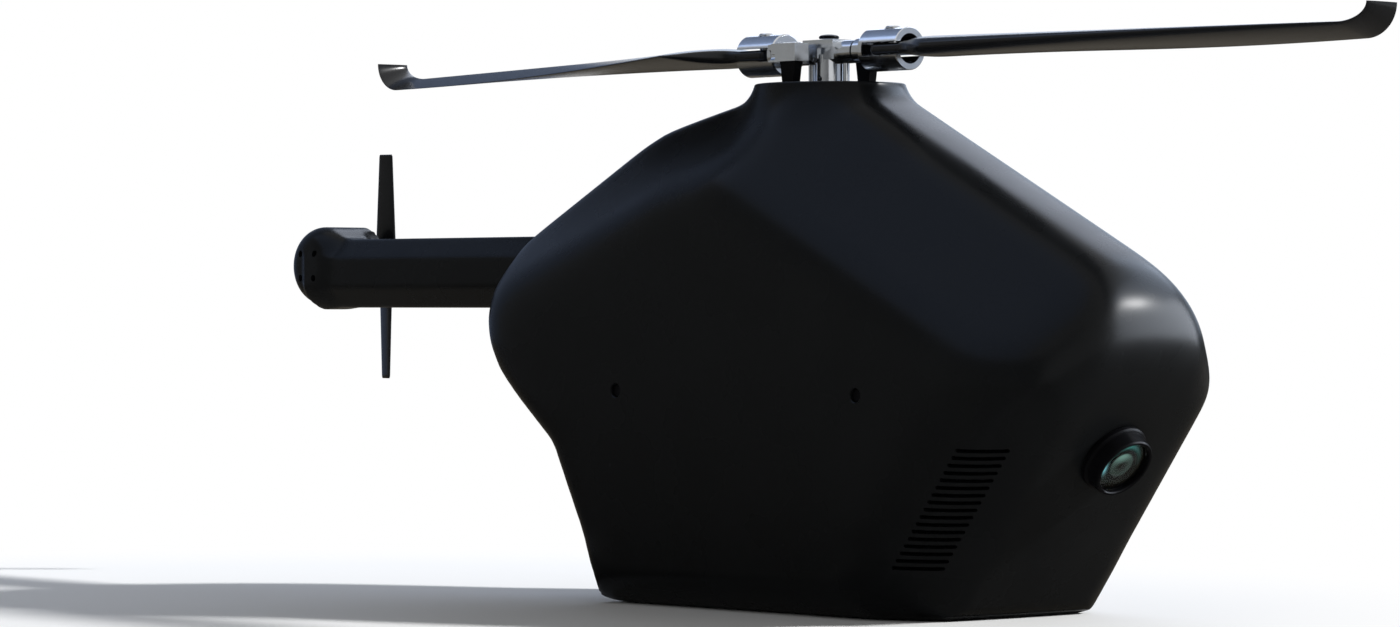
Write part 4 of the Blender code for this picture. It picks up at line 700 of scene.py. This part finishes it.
def painted_reflection_colour(points):
    """Painted reflections at points of the inner element, from the distance and the angle about the axis.

    A painted teal reflection lies near the rim on the upper starboard side and ends in a painted
    pale cyan glint. Inside a black ring the middle is a painted grey-green reflection, paler towards
    the same side. The rest is brown-black.
    """
    local = (points - lens_place[:3, 3]) @ lens_place[:3, :3]
    radius = np.hypot(local[:, 0], local[:, 1]) / MM
    angle = np.degrees(np.arctan2(local[:, 1], -local[:, 0]))

    def near(value, middle, width):
        return np.exp(-(((value - middle) / width) ** 2))

    # Painted reflections: a teal arc, a pale cyan glint, and a grey-green middle, paler to one side.
    painted_arc = near(radius, 4.7, 0.5) * near(angle, 60.0, 60.0)
    painted_glint = near(radius, 4.5, 0.6) * near(angle, -12.0, 16.0)
    middle = (1 - smoothstep(radius, 2.7, 3.1)) * (0.1 + 0.9 * near(angle, 70.0, 50.0))
    middle = middle * smoothstep(radius, 0.3, 2.6)
    ring = near(radius, 3.5, 0.4)
    colour = np.array(linear("#14120d")) * (1 - ring)[:, None]
    for share, tint in ((painted_arc, "#4fa39f"), (painted_glint, "#9be4f0"), (middle, "#6f8f86")):
        colour = colour + share[:, None] * np.array(linear(tint))
    return np.column_stack([np.clip(colour[:, :3], 0, 1), np.ones(len(points))])


inner_back = [(INNER_AXIS, INNER_BACK), (INNER_GLASS, INNER_BACK)]
inner_profile = np.concatenate([inner_back, dome(INNER_GLASS, INNER_AXIS, 60, 2.9 * MM, 0.5 * MM)])
inner_glass = surface("inner_element", capped(turned(inner_profile, lens_place, 128)))
inner_points = np.empty(len(inner_glass.data.vertices) * 3)
inner_glass.data.vertices.foreach_get("co", inner_points)
# The painted reflections are stored as a colour on the points.
reflection_points = inner_glass.data.color_attributes.new("painted_reflections", "FLOAT_COLOR", "POINT")
reflection_points.data.foreach_set("color", painted_reflection_colour(inner_points.reshape(-1, 3)).ravel())
dress(inner_glass, "airframe", "coated_glass", finish="inner_glass")

# %% [markdown]
# A main blade is a flat slab in the grip that widens into a twisted wing and ends in a tip curled
# straight up. One grid holds all of it. Rows go out along the blade, columns go round its section,
# and each row's width, thickness, pitch, sweep and droop are functions of the distance out. The
# last rows follow a quarter of an ellipse upwards.

# %% Main blades
ROTOR_Z = 123.2 * MM
ROTOR_RADIUS = 166.2 * MM
BLADE_ROOT = 17.0 * MM
BLADE_ROOT_HALF_WIDTH = 4.4 * MM
BLADE_ROOT_THICKNESS = 2.5 * MM
BLADE_SHOULDER = 29.0 * MM
BLADE_FULL_CHORD = 38.5 * MM
BLADE_ROOT_CHORD = 26.0 * MM
BLADE_SWELL = 4.4 * MM
BLADE_TIP_CHORD = 9.7 * MM
BLADE_TIP_THICKNESS = 0.9 * MM
BLADE_TIP_PITCH = np.radians(17.7)
BLADE_SWEEP = np.radians(2.9)
BLADE_DROOP = 1.0 * MM
BLADE_LEAD = 0.26
WINGLET_RUN = 8.0 * MM
WINGLET_RISE = 4.6 * MM
BLADE_BOLT_X = 20.7 * MM
BLADE_BOLT_HOLE = 1.3 * MM
ROOT_ROUND = 1.4 * MM
CURL_ROWS = 24
BLUNT_PART = 0.3
BLUNTNESS = 0.8


def blade_grid():
    """Sections from the slab to the curled tip.

    A section runs over the top from leading to trailing edge and back below. Its half thickness is
    a blunt superellipse on the slab, and a wing profile, full at a third of the chord, further out.
    Near the root the front part of the profile is blunter.
    """
    straight_end = ROTOR_RADIUS - WINGLET_RUN
    root = BLADE_ROOT + ROOT_ROUND * (1 - np.cos(np.linspace(0, np.pi / 2, 8)))
    span = np.concatenate([root[:-1], np.linspace(root[-1], BLADE_FULL_CHORD, 40)[:-1]])
    span = np.concatenate([span, np.linspace(BLADE_FULL_CHORD, straight_end, 90)])
    curl = np.concatenate([np.zeros(len(span)), np.linspace(0, np.pi / 2, CURL_ROWS)[1:]])
    span = np.concatenate([span, np.full(CURL_ROWS - 1, straight_end)])
    span, curl = span[:, None], curl[:, None]
    wing = smoothstep(span, BLADE_SHOULDER - 2 * MM, BLADE_FULL_CHORD)
    share = np.clip((span - BLADE_FULL_CHORD) / (straight_end - BLADE_FULL_CHORD), 0, 1)
    chord = BLADE_ROOT_CHORD + share * (BLADE_TIP_CHORD - BLADE_ROOT_CHORD)
    rounding = np.sqrt(np.clip(1 - ((root[-1] - span) / ROOT_ROUND).clip(0, 1) ** 2, 0.02, 1))
    lead = BLADE_ROOT_HALF_WIDTH * rounding * (1 - wing) + BLADE_LEAD * chord * wing
    trail = BLADE_ROOT_HALF_WIDTH * rounding * (1 - wing) + (1 - BLADE_LEAD) * chord * wing
    thick = BLADE_SWELL + share * (BLADE_TIP_THICKNESS - BLADE_SWELL)
    swell = smoothstep(span, BLADE_SHOULDER - 4 * MM, BLADE_FULL_CHORD - 3.5 * MM)
    thick = BLADE_ROOT_THICKNESS * (1 - swell) + thick * swell
    pitch = share * BLADE_TIP_PITCH
    lift = -BLADE_DROOP * share + WINGLET_RISE * (1 - np.cos(curl))
    out = span + WINGLET_RUN * np.sin(curl)
    ahead = wing * out * np.tan(BLADE_SWEEP)
    turn = np.linspace(0, 2 * np.pi, 56, endpoint=False)
    along = (1 - np.cos(turn)) / 2
    side = np.where(turn <= np.pi, 1.0, -1.0)
    slab = np.sqrt(np.clip(1 - np.abs(2 * along - 1) ** 10, 0, 1))
    wing_shape = 0.2969 * np.sqrt(along) - 0.126 * along - 0.3516 * along**2
    wing_shape = (wing_shape + 0.2843 * along**3 - 0.1015 * along**4) / 0.1
    blunt = np.sqrt(1 - (1 - np.minimum(along / BLUNT_PART, 1)) ** 4)
    bluntness = BLUNTNESS * (1 - share) ** 2 * (along < BLUNT_PART)
    wing_shape = wing_shape + bluntness * (blunt - wing_shape)
    half = side * ((1 - wing) * slab + wing * (0.92 * wing_shape + 0.08 * slab))
    half = half * thick / 2
    y = -lead + along * (lead + trail)
    flat = y * np.cos(pitch) + half * np.sin(pitch) - ahead
    rise = lift - y * (np.sin(pitch) * np.cos(curl))
    x = out - np.sin(curl) * half
    z = ROTOR_Z + rise + np.cos(curl) * half
    return np.stack([x, flat, z], axis=-1)


blade_points = capped(blade_grid())
bolt_place = axis_place("Z", (BLADE_BOLT_X, 0, ROTOR_Z))
bolt_hole = rod(BLADE_BOLT_HOLE, -6 * MM, 6 * MM, bolt_place, 32)
for where, facing in ENDS:
    blade = shaped(f"{where}_wing", blade_points, cuts=[bolt_hole], facing=facing)
    dress(blade, f"{where}_blade_set", "blade_composite", f"{where}_blade")

# %% [markdown]
# Each blade sits in a grip: a bright turned tube with a slot sawn along it, a thin neck towards the
# hub, and a pitch block that stands beside the mast on a leg. A ring profile gives the tube, boxes
# joined to it give the leg and the block, and boxes cut from it give the blade's slot and the pocket
# for the control arm. The edges are then broken, because a machined edge is never razor sharp and
# its thin highlight is what reads as metal.

# %% Blade grips
PITCH_ARM_X, PITCH_ARM_Y = 4.35 * MM, 7.5 * MM
BROKEN_EDGE = 0.12 * MM
HEAD = np.array((0, 0, ROTOR_Z))
tube_profile = [(1.8, 10.0), (2.7, 10.0), (2.9, 10.2), (2.9, 14.0), (4.5, 14.0), (4.75, 14.25), (4.75, 25.8)]
tube_profile += [(4.6, 26.0), (3.35, 26.0), (3.2, 25.85), (3.2, 15.9), (1.8, 15.9)]
grip_tube = looped(turned(np.array(tube_profile) * MM, axis_place("X", HEAD), 96))


def head_box(x, y, z):
    """A box from spans along X, Y and Z in millimetres, with Z counted from the rotor's plane."""
    ring = np.array([(x[0], y[0], 0), (x[1], y[0], 0), (x[1], y[1], 0), (x[0], y[1], 0)])
    return capped(np.stack([(ring + (0, 0, height)) * MM + HEAD for height in z]))


def head_rod(radius, start, end, axis, point):
    """A closed round bar in millimetres along an axis, with Z counted from the rotor's plane."""
    place = axis_place(axis, np.array(point) * MM + HEAD)
    return rod(radius * MM, start * MM, end * MM, place, 48)


grip_adds = [
    head_box((0.9, 8.7), (5.4, 9.6), (-2.0, 2.0)),
    head_box((8.5, 11.98), (5.42, 7.5), (-1.98, 1.98)),
    head_box((10.02, 12.0), (2.2, 5.6), (-1.96, 1.96)),
]
bolt_bore = capped(turned(np.array([(1.3, -10), (1.3, 4.1), (2.0, 4.1), (2.0, 10)]) * MM, bolt_place, 32))
grip_cuts = [
    head_box((15.4, 28.0), (-10, 10), (-1.55, 1.55)),
    head_box((1.5, 7.2), (5.9, 9.1), (-4.0, 1.2)),
    head_box((7.4, 9.5), (7.7, 10.5), (-3.0, -0.3)),
    head_rod(1.1, 4.35, 12, "X", (0, 7.5, -0.4)),
    bolt_bore,
]
bolt_head = [(1.55, 4.4), (1.7, 4.55), (1.7, 4.85), (1.45, 5.1), (0.8, 5.18), (0.02, 5.2)]
bolt_shank = [(0.02, -4.7), (1.0, -4.7), (1.0, 4.4)]
bolt_grid = capped(turned(np.array(bolt_shank + bolt_head) * MM, bolt_place, 32))
for where, facing in ENDS:
    grip = shaped(f"{where}_holder", grip_tube, grip_adds, grip_cuts, facing)
    dress(grip, f"{where}_grip_set", "aluminium", f"{where}_grip", edge=BROKEN_EDGE)
    bolt = surface(f"{where}_bolt", bolt_grid * facing)
    dress(bolt, f"{where}_grip_set", "steel", f"{where}_blade_bolt")

# %% [markdown]
# The hub is milled from one block: a flat top plate, a narrower body below it, a sleeve for the
# spindle to either side and a round neck that goes down over the mast. A leg and a lug with a cross
# hole hang from the plate on two opposite corners. Two pins beside the neck drive the swashplate,
# and a black cap closes the top. The second half of each pair is the first one turned half round.

# %% Hub
hub_plate = head_box((-4.9, 4.9), (-3.5, 3.5), (1.0, 2.8))
hub_adds = [
    head_box((-4.6, 4.6), (-2.9, 2.9), (-1.6, 1.2)),
    head_rod(2.6, -9.4, 9.4, "X", (0, 0, 0)),
    head_rod(3.2, -8.2, -0.5, "Z", (0, 0, 0)),
]
hub_pairs = [
    head_box((-4.88, -3.9), (-3.48, -2.4), (-2.3, 1.2)),
    head_box((-2.45, -0.15), (-3.46, -2.2), (-1.1, 1.2)),
    head_rod(1.15, -3.46, -2.2, "Y", (-1.3, 0, -1.1)),
    head_rod(0.75, -8.2, -1.5, "Z", (5.6, 0, 0)),
]
hub_adds += hub_pairs + [grid * HALF_TURN for grid in hub_pairs]
hub_cuts = [
    head_rod(2.55, -9.0, -2.3, "Z", (0, 0, 0)),
    head_rod(1.8, -11, 11, "X", (0, 0, 0)),
    head_rod(0.55, -6.0, -2.5, "Y", (-1.3, 0, -1.1)),
    head_rod(0.55, 2.5, 6.0, "Y", (1.3, 0, -1.1)),
    head_rod(0.6, -6.0, 0.0, "Y", (0.4, 0, -5.9)),
]
hub = shaped("head_block", hub_plate, hub_adds, hub_cuts)
dress(hub, "main_rotor", "aluminium", "rotor_hub", edge=BROKEN_EDGE)

cap_profile = [(0.02, 126.3), (2.1, 126.3), (2.25, 126.45), (2.25, 126.7), (2.1, 126.95), (1.6, 127.15)]
cap_profile += [(0.8, 127.27), (0.02, 127.3)]
cap = surface("head_cap", capped(turned(np.array(cap_profile) * MM, axis_place("Z", (0, 0, 0)), 64)))
dress(cap, "main_rotor", "gloss_black", "head_button")

# %% [markdown]
# The boom is an eight-sided tube with soft corners that ends in a round housing for the tail motor.
# Its skin is found along rays from a spine, as the pod's was, from two blended distances: the tube
# and a disc with round edges. That gives the smooth hollow where the disc rises out of the tube.

# %% Tail boom
BOOM_FRONT_X = -47.0 * MM
BOOM_FLAT = 8.5 * MM
BOOM_ROUND = 8.6 * MM
TAIL_X, TAIL_Z = -181.5 * MM, 76.6 * MM
TAIL_RADIUS, TAIL_HALF_DEPTH, TAIL_EDGE = 9.75 * MM, 8.7 * MM, 5.8 * MM
BOOM_BLEND = 3.0 * MM
BOOM_REACH = 0.02
BOOM_HELD = (-84 * MM, -76 * MM)
CORNER_POWER = 36
TAIL_SCREW_STEP = 3.05 * MM


def boom_distance(x, y, z):
    """Blend of an eight-sided tube, round where the clamp holds it, and a disc round at one edge."""
    turn = np.arctan2(z - BOOM_Z, y)
    away = np.hypot(y, z - BOOM_Z)
    faces = np.cos(turn[..., None] - np.arange(8) * np.pi / 4)
    eight = (np.maximum(faces, 0) ** CORNER_POWER).sum(axis=-1) ** (1 / CORNER_POWER)
    held = smoothstep(x, *BOOM_HELD)
    tube = (1 - held) * (away * eight - BOOM_FLAT) + held * (away - BOOM_ROUND)
    tube = np.maximum(tube, TAIL_X - x)
    across_disc = np.hypot(x - TAIL_X, z - TAIL_Z) - (TAIL_RADIUS - TAIL_EDGE)
    through = -y - (TAIL_HALF_DEPTH - TAIL_EDGE)
    corner = np.hypot(np.maximum(across_disc, 0), np.maximum(through, 0))
    disc = corner + np.minimum(np.maximum(across_disc, through), 0) - TAIL_EDGE
    disc = np.maximum(disc, y - TAIL_HALF_DEPTH)
    return blended_min(tube, disc, BOOM_BLEND)


def boom_rings():
    """Points on the skin for stations along the boom and turns round its spine."""
    stations = TAIL_X - TAIL_RADIUS * np.cos(np.linspace(0, np.pi, 70))
    stations = np.concatenate([stations[1:], np.linspace(TAIL_X + TAIL_RADIUS, BOOM_FRONT_X, 90)[1:]])
    turn, x = np.meshgrid(circle(144), stations)
    spine = TAIL_Z + (BOOM_Z - TAIL_Z) * smoothstep(x, TAIL_X, TAIL_X + 14 * MM)

    def points_at(away):
        return x, away * np.cos(turn), spine + away * np.sin(turn)

    return skin(points_at, boom_distance, x.shape, BOOM_REACH, 30)


boom = surface("boom_skin", capped(boom_rings()))
tail_axis = axis_place("Y", (TAIL_X, 0, TAIL_Z))
cup = rod(7.3 * MM, -7.1 * MM, 12 * MM, tail_axis, 96)
tail_holes = [
    rod(0.85 * MM, -10 * MM, -6 * MM, axis_place("Y", (TAIL_X + x, 0, TAIL_Z + z)), 32)
    for x in (TAIL_SCREW_STEP, -TAIL_SCREW_STEP)
    for z in (TAIL_SCREW_STEP, -TAIL_SCREW_STEP)
]
combine(boom, surface("tail_cuts", cup, *tail_holes), "DIFFERENCE")
dress(boom, "airframe", "moulded_black", "tail_boom")

# %% [markdown]
# The tail rotor is one moulding: a small hub and two tapered blades set at twelve degrees. The
# blades are lofts of a thin wing section, one pointing up and one down, turned half round.

# %% Tail rotor
TAIL_ROTOR_Y = 16.0 * MM
TAIL_ROTOR_RADIUS = 28.3 * MM
TAIL_BLADE_FOOT = 2.4 * MM
TAIL_TIP_START = 0.97
TAIL_PITCH = np.radians(12.0)


def tail_blade_grid():
    """Sections up the blade: chord falls from 6.5 to 4.2 mm, thickness from 1.5 to 0.8 mm."""
    tip = TAIL_TIP_START + 0.03 * np.sin(np.linspace(0, np.pi / 2, 7)[1:])
    share = np.concatenate([np.linspace(0, TAIL_TIP_START, 40), tip])[:, None]
    round_off = np.sqrt(np.clip(1 - ((share - TAIL_TIP_START) / 0.0305).clip(0, 1) ** 2, 0.02, 1))
    height = TAIL_BLADE_FOOT + share * (TAIL_ROTOR_RADIUS - TAIL_BLADE_FOOT)
    half_chord = (6.5 - 2.3 * share) / 2 * MM * (0.9 + 0.1 * round_off)
    half_thick = (1.5 - 0.7 * share) / 2 * MM * round_off
    turn = np.linspace(0, 2 * np.pi, 40, endpoint=False)
    chord = half_chord * np.cos(turn)
    rise = half_thick * np.sign(np.sin(turn)) * np.abs(np.sin(turn)) ** 0.7
    x = chord * np.cos(TAIL_PITCH) - rise * np.sin(TAIL_PITCH)
    y = chord * np.sin(TAIL_PITCH) + rise * np.cos(TAIL_PITCH)
    return np.stack([x, y, height + 0 * x], axis=-1)


tail_blade = capped(tail_blade_grid())
tail_middle = np.array((TAIL_X, TAIL_ROTOR_Y, TAIL_Z))
hub_profile = [(1.3, -1.8), (2.9, -1.8), (3.2, -1.5), (3.2, 1.5), (2.9, 1.8), (1.3, 1.8)]
tail_hub = looped(turned(np.array(hub_profile) * MM, axis_place("Y", tail_middle), 64))
tail_blades = [tail_blade * facing + tail_middle for facing in (1, np.array((-1, 1, -1)))]
tail_rotor = shaped("tail_wings", tail_hub, tail_blades)
dress(tail_rotor, "tail_rotor_set", "blade_composite", "tail_rotor")

# %% [markdown]
# The control arms hang from the pitch blocks down into the collar: flat tapered links with a round
# foot. Each is an outline carried through its thickness, joined to its cross pin, with a hole for
# the swashplate's pin.

# %% Control arms
SWASH_PIN_Z = 106.2 * MM
arm_turn = np.linspace(-np.pi, 0, 17)
arm_foot = np.column_stack([2.3 * np.cos(arm_turn), 2.3 * np.sin(arm_turn)]) * MM
arm_top = np.array([(1.75, 4.0), (1.75, 10.3), (2.5, 15.2), (2.5, 17.2), (2.1, 17.7)]) * MM
arm_outline = np.concatenate([arm_foot, arm_top, arm_top[::-1] * np.array((-1, 1))])
arm_x, arm_z = (arm_outline + np.array((PITCH_ARM_X, SWASH_PIN_Z))).T
arm_faces = [PITCH_ARM_Y + depth + 0 * arm_x for depth in (-1.1 * MM, 1.1 * MM)]
arm_link = capped(np.stack([np.column_stack([arm_x, face, arm_z]) for face in arm_faces]))
arm_pin = head_rod(0.8, 4.35, 8.2, "X", (0, 7.5, -0.4))
arm_eye = rod(1.55 * MM, 5 * MM, 10 * MM, axis_place("Y", (PITCH_ARM_X, 0, SWASH_PIN_Z)), 32)
for where, facing in ENDS:
    arm = shaped(f"{where}_pitch_link", arm_link, [arm_pin], [arm_eye], facing)
    dress(arm, f"{where}_link", "gloss_black", f"{where}_control_arm", edge=0.2 * MM)

# %% [markdown]
# The floor is plain and pale. Close to the drone it is an ordinary matt surface that takes the
# shadow. Further out it fades into the white of the background, so no horizon shows. The fade
# depends only on the distance from a point beside the drone, on the side where its shadow falls.

# %% Floor and background
FADE_START, FADE_END = 0.16, 0.26
SHADOW_SIDE = 0.1
AMBIENT = 0.22
floor_ring = turned([(0.001, 0.0), (8.0, 0.0)], axis_place("Z", (0, 0, -0.05 * MM)), 96)
floor = surface("floor", floor_ring)
matt = {"Base Color": linear("#f2f2f1"), "Roughness": 0.9, "Specular IOR Level": 0.0}
paper, tree, shader = new_finish("pale_paper", matt)
place = add_node(tree, "ShaderNodeTexCoord").outputs["Object"]
shift = {0: place, 1: tuple(SHADOW_SIDE * right)}
place = add_node(tree, "ShaderNodeVectorMath", shift, operation="ADD").outputs["Vector"]
away = add_node(tree, "ShaderNodeVectorMath", {0: place}, operation="LENGTH")
fade = add_node(
    tree,
    "ShaderNodeMapRange",
    {"Value": away.outputs["Value"], "From Min": FADE_START, "From Max": FADE_END},
    interpolation_type="SMOOTHSTEP",
)
glow = add_node(tree, "ShaderNodeEmission", {"Color": (1, 1, 1, 1), "Strength": 1.0})
mix = add_node(
    tree,
    "ShaderNodeMixShader",
    {0: fade.outputs["Result"], 1: shader.outputs["BSDF"], 2: glow.outputs["Emission"]},
)
tree.links.new(mix.outputs["Shader"], tree.nodes["Material Output"].inputs["Surface"])
floor.data.materials.append(paper)

world = bpy.data.worlds.new("studio")
world.use_nodes = True
scene.world = world
sky = world.node_tree
paths = add_node(sky, "ShaderNodeLightPath").outputs
seen = paths["Is Camera Ray"]
for ray in ("Is Glossy Ray", "Is Transmission Ray"):
    either = add_node(sky, "ShaderNodeMath", {0: seen, 1: paths[ray]}, operation="MAXIMUM")
    seen = either.outputs["Value"]
level = add_node(sky, "ShaderNodeMapRange", {"Value": seen, "To Min": AMBIENT, "To Max": 1.0})
background = sky.nodes["Background"].inputs
sky.links.new(level.outputs["Result"], background["Strength"])
background["Color"].default_value = (1, 1, 1, 1)

# %% [markdown]
# A shiny thing shows the room around it. As photographers do, cards stand round the set, outside the
# picture. A grey one at the left tones the metal down and a blue-grey one beside it gives the rear
# facets a cool sheen. A pale lit cloth behind, on a dark skirting and mat, shows in the blades, which
# are seen almost edge on. Lightboxes are cards that glow: a blue one high at the left for the upper
# side facets, and a white and a pale one at the right for the brow of the nose. Thin blades and
# bright metal would mirror these two as glare, so light linking keeps them to the pod, the boom and
# the lens. Each card is a strip between two arcs about the drone. Cards only show in reflections:
# they light nothing, cast no shadow, and the camera does not see them.


# %% Cards round the set
def card(name, colour, bearings, first, second, glow=0.0):
    """A strip between two arcs, each given by its distance and height in metres.

    Bearings are counted in degrees to the right of the way the camera looks. A lightbox glows.
    """
    turn = np.radians(np.linspace(*bearings, 48))[:, None]
    ring = np.cos(turn) * forward + np.sin(turn) * right
    edge = np.concatenate([ring, ring[::-1] * 1.002])
    made = surface(name, np.stack([distance * edge + height * up for distance, height in (first, second)]))
    shown = {"Base Color": linear(colour), "Emission Color": linear(colour), "Emission Strength": glow}
    cloth, _, _ = new_finish(name, {**shown, "Roughness": 1.0, "Specular IOR Level": 0.0})
    made.data.materials.append(cloth)
    made.visible_camera = made.visible_diffuse = made.visible_shadow = made.visible_transmission = False
    return made


card("grey_side_card", "#7e7e7c", (-178, -66), (0.9, 0.0), (0.9, 0.7))
card("blue_side_card", "#74829c", (-65, -7), (0.9, 0.0), (0.9, 1.5))
card("blue_lightbox", "#a3b4d4", (-150, -62), (0.9, 0.75), (0.3, 1.4), glow=1.6)
card("pale_back_cloth", "#c9d8ee", (-6, 69), (0.9, 0.13), (0.9, 0.5), glow=1.2)
white_box = card("white_lightbox", "#e2eaf6", (66, 110), (0.88, 0.07), (0.88, 0.5), glow=19.0)
pale_box = card("pale_lightbox", "#b4c1d4", (30, 110), (0.88, 0.51), (0.88, 0.95), glow=9.0)
card("dark_skirting", "#4a443a", (-6, 69), (0.9, 0.0), (0.9, 0.128))
card("brown_mat", "#6b6458", (-179, 179), (0.06, 0.001), (0.9, 0.001))

mirrors = bpy.data.collections.new("mirrors_the_nose_boxes")
for piece in (pod, boom, barrel, front_glass, inner_glass):
    mirrors.objects.link(piece)
for box in (white_box, pale_box):
    box.light_linking.receiver_collection = mirrors

# %% [markdown]
# The light is a plain studio set: one small far source from the right for the shadow, and a wide
# soft panel high behind the drone that lights the pod's front band and the blades from above. With
# them a colour shows about as it is written.


# %% Lights
def lamp(name, kind, direction, power, distance=0.0, **settings):
    """A lamp in a given direction from the pod's middle, turned to face it."""
    light = bpy.data.lights.new(name, kind)
    for key, value in {"energy": power, **settings}.items():
        setattr(light, key, value)
    stand = bpy.data.objects.new(name, light)
    direction = Vector(direction).normalized()
    stand.location = Vector((0, 0, 0.06)) + direction * distance
    stand.rotation_euler = (-direction).to_track_quat("-Z", "Y").to_euler()
    scene.collection.objects.link(stand)


panel = {"shape": "RECTANGLE", "size": 1.6, "size_y": 0.6, "color": linear("#d9e6ff")[:3]}
lamp("sky_panel", "AREA", 0.79 * forward + 0.2 * right + 0.59 * up, 7.0, 1.2, **panel)
lamp("sun", "SUN", 0.85 * right + 0.53 * up, 4.0, angle=np.radians(5.0))
scene.view_settings.view_transform = "Standard"
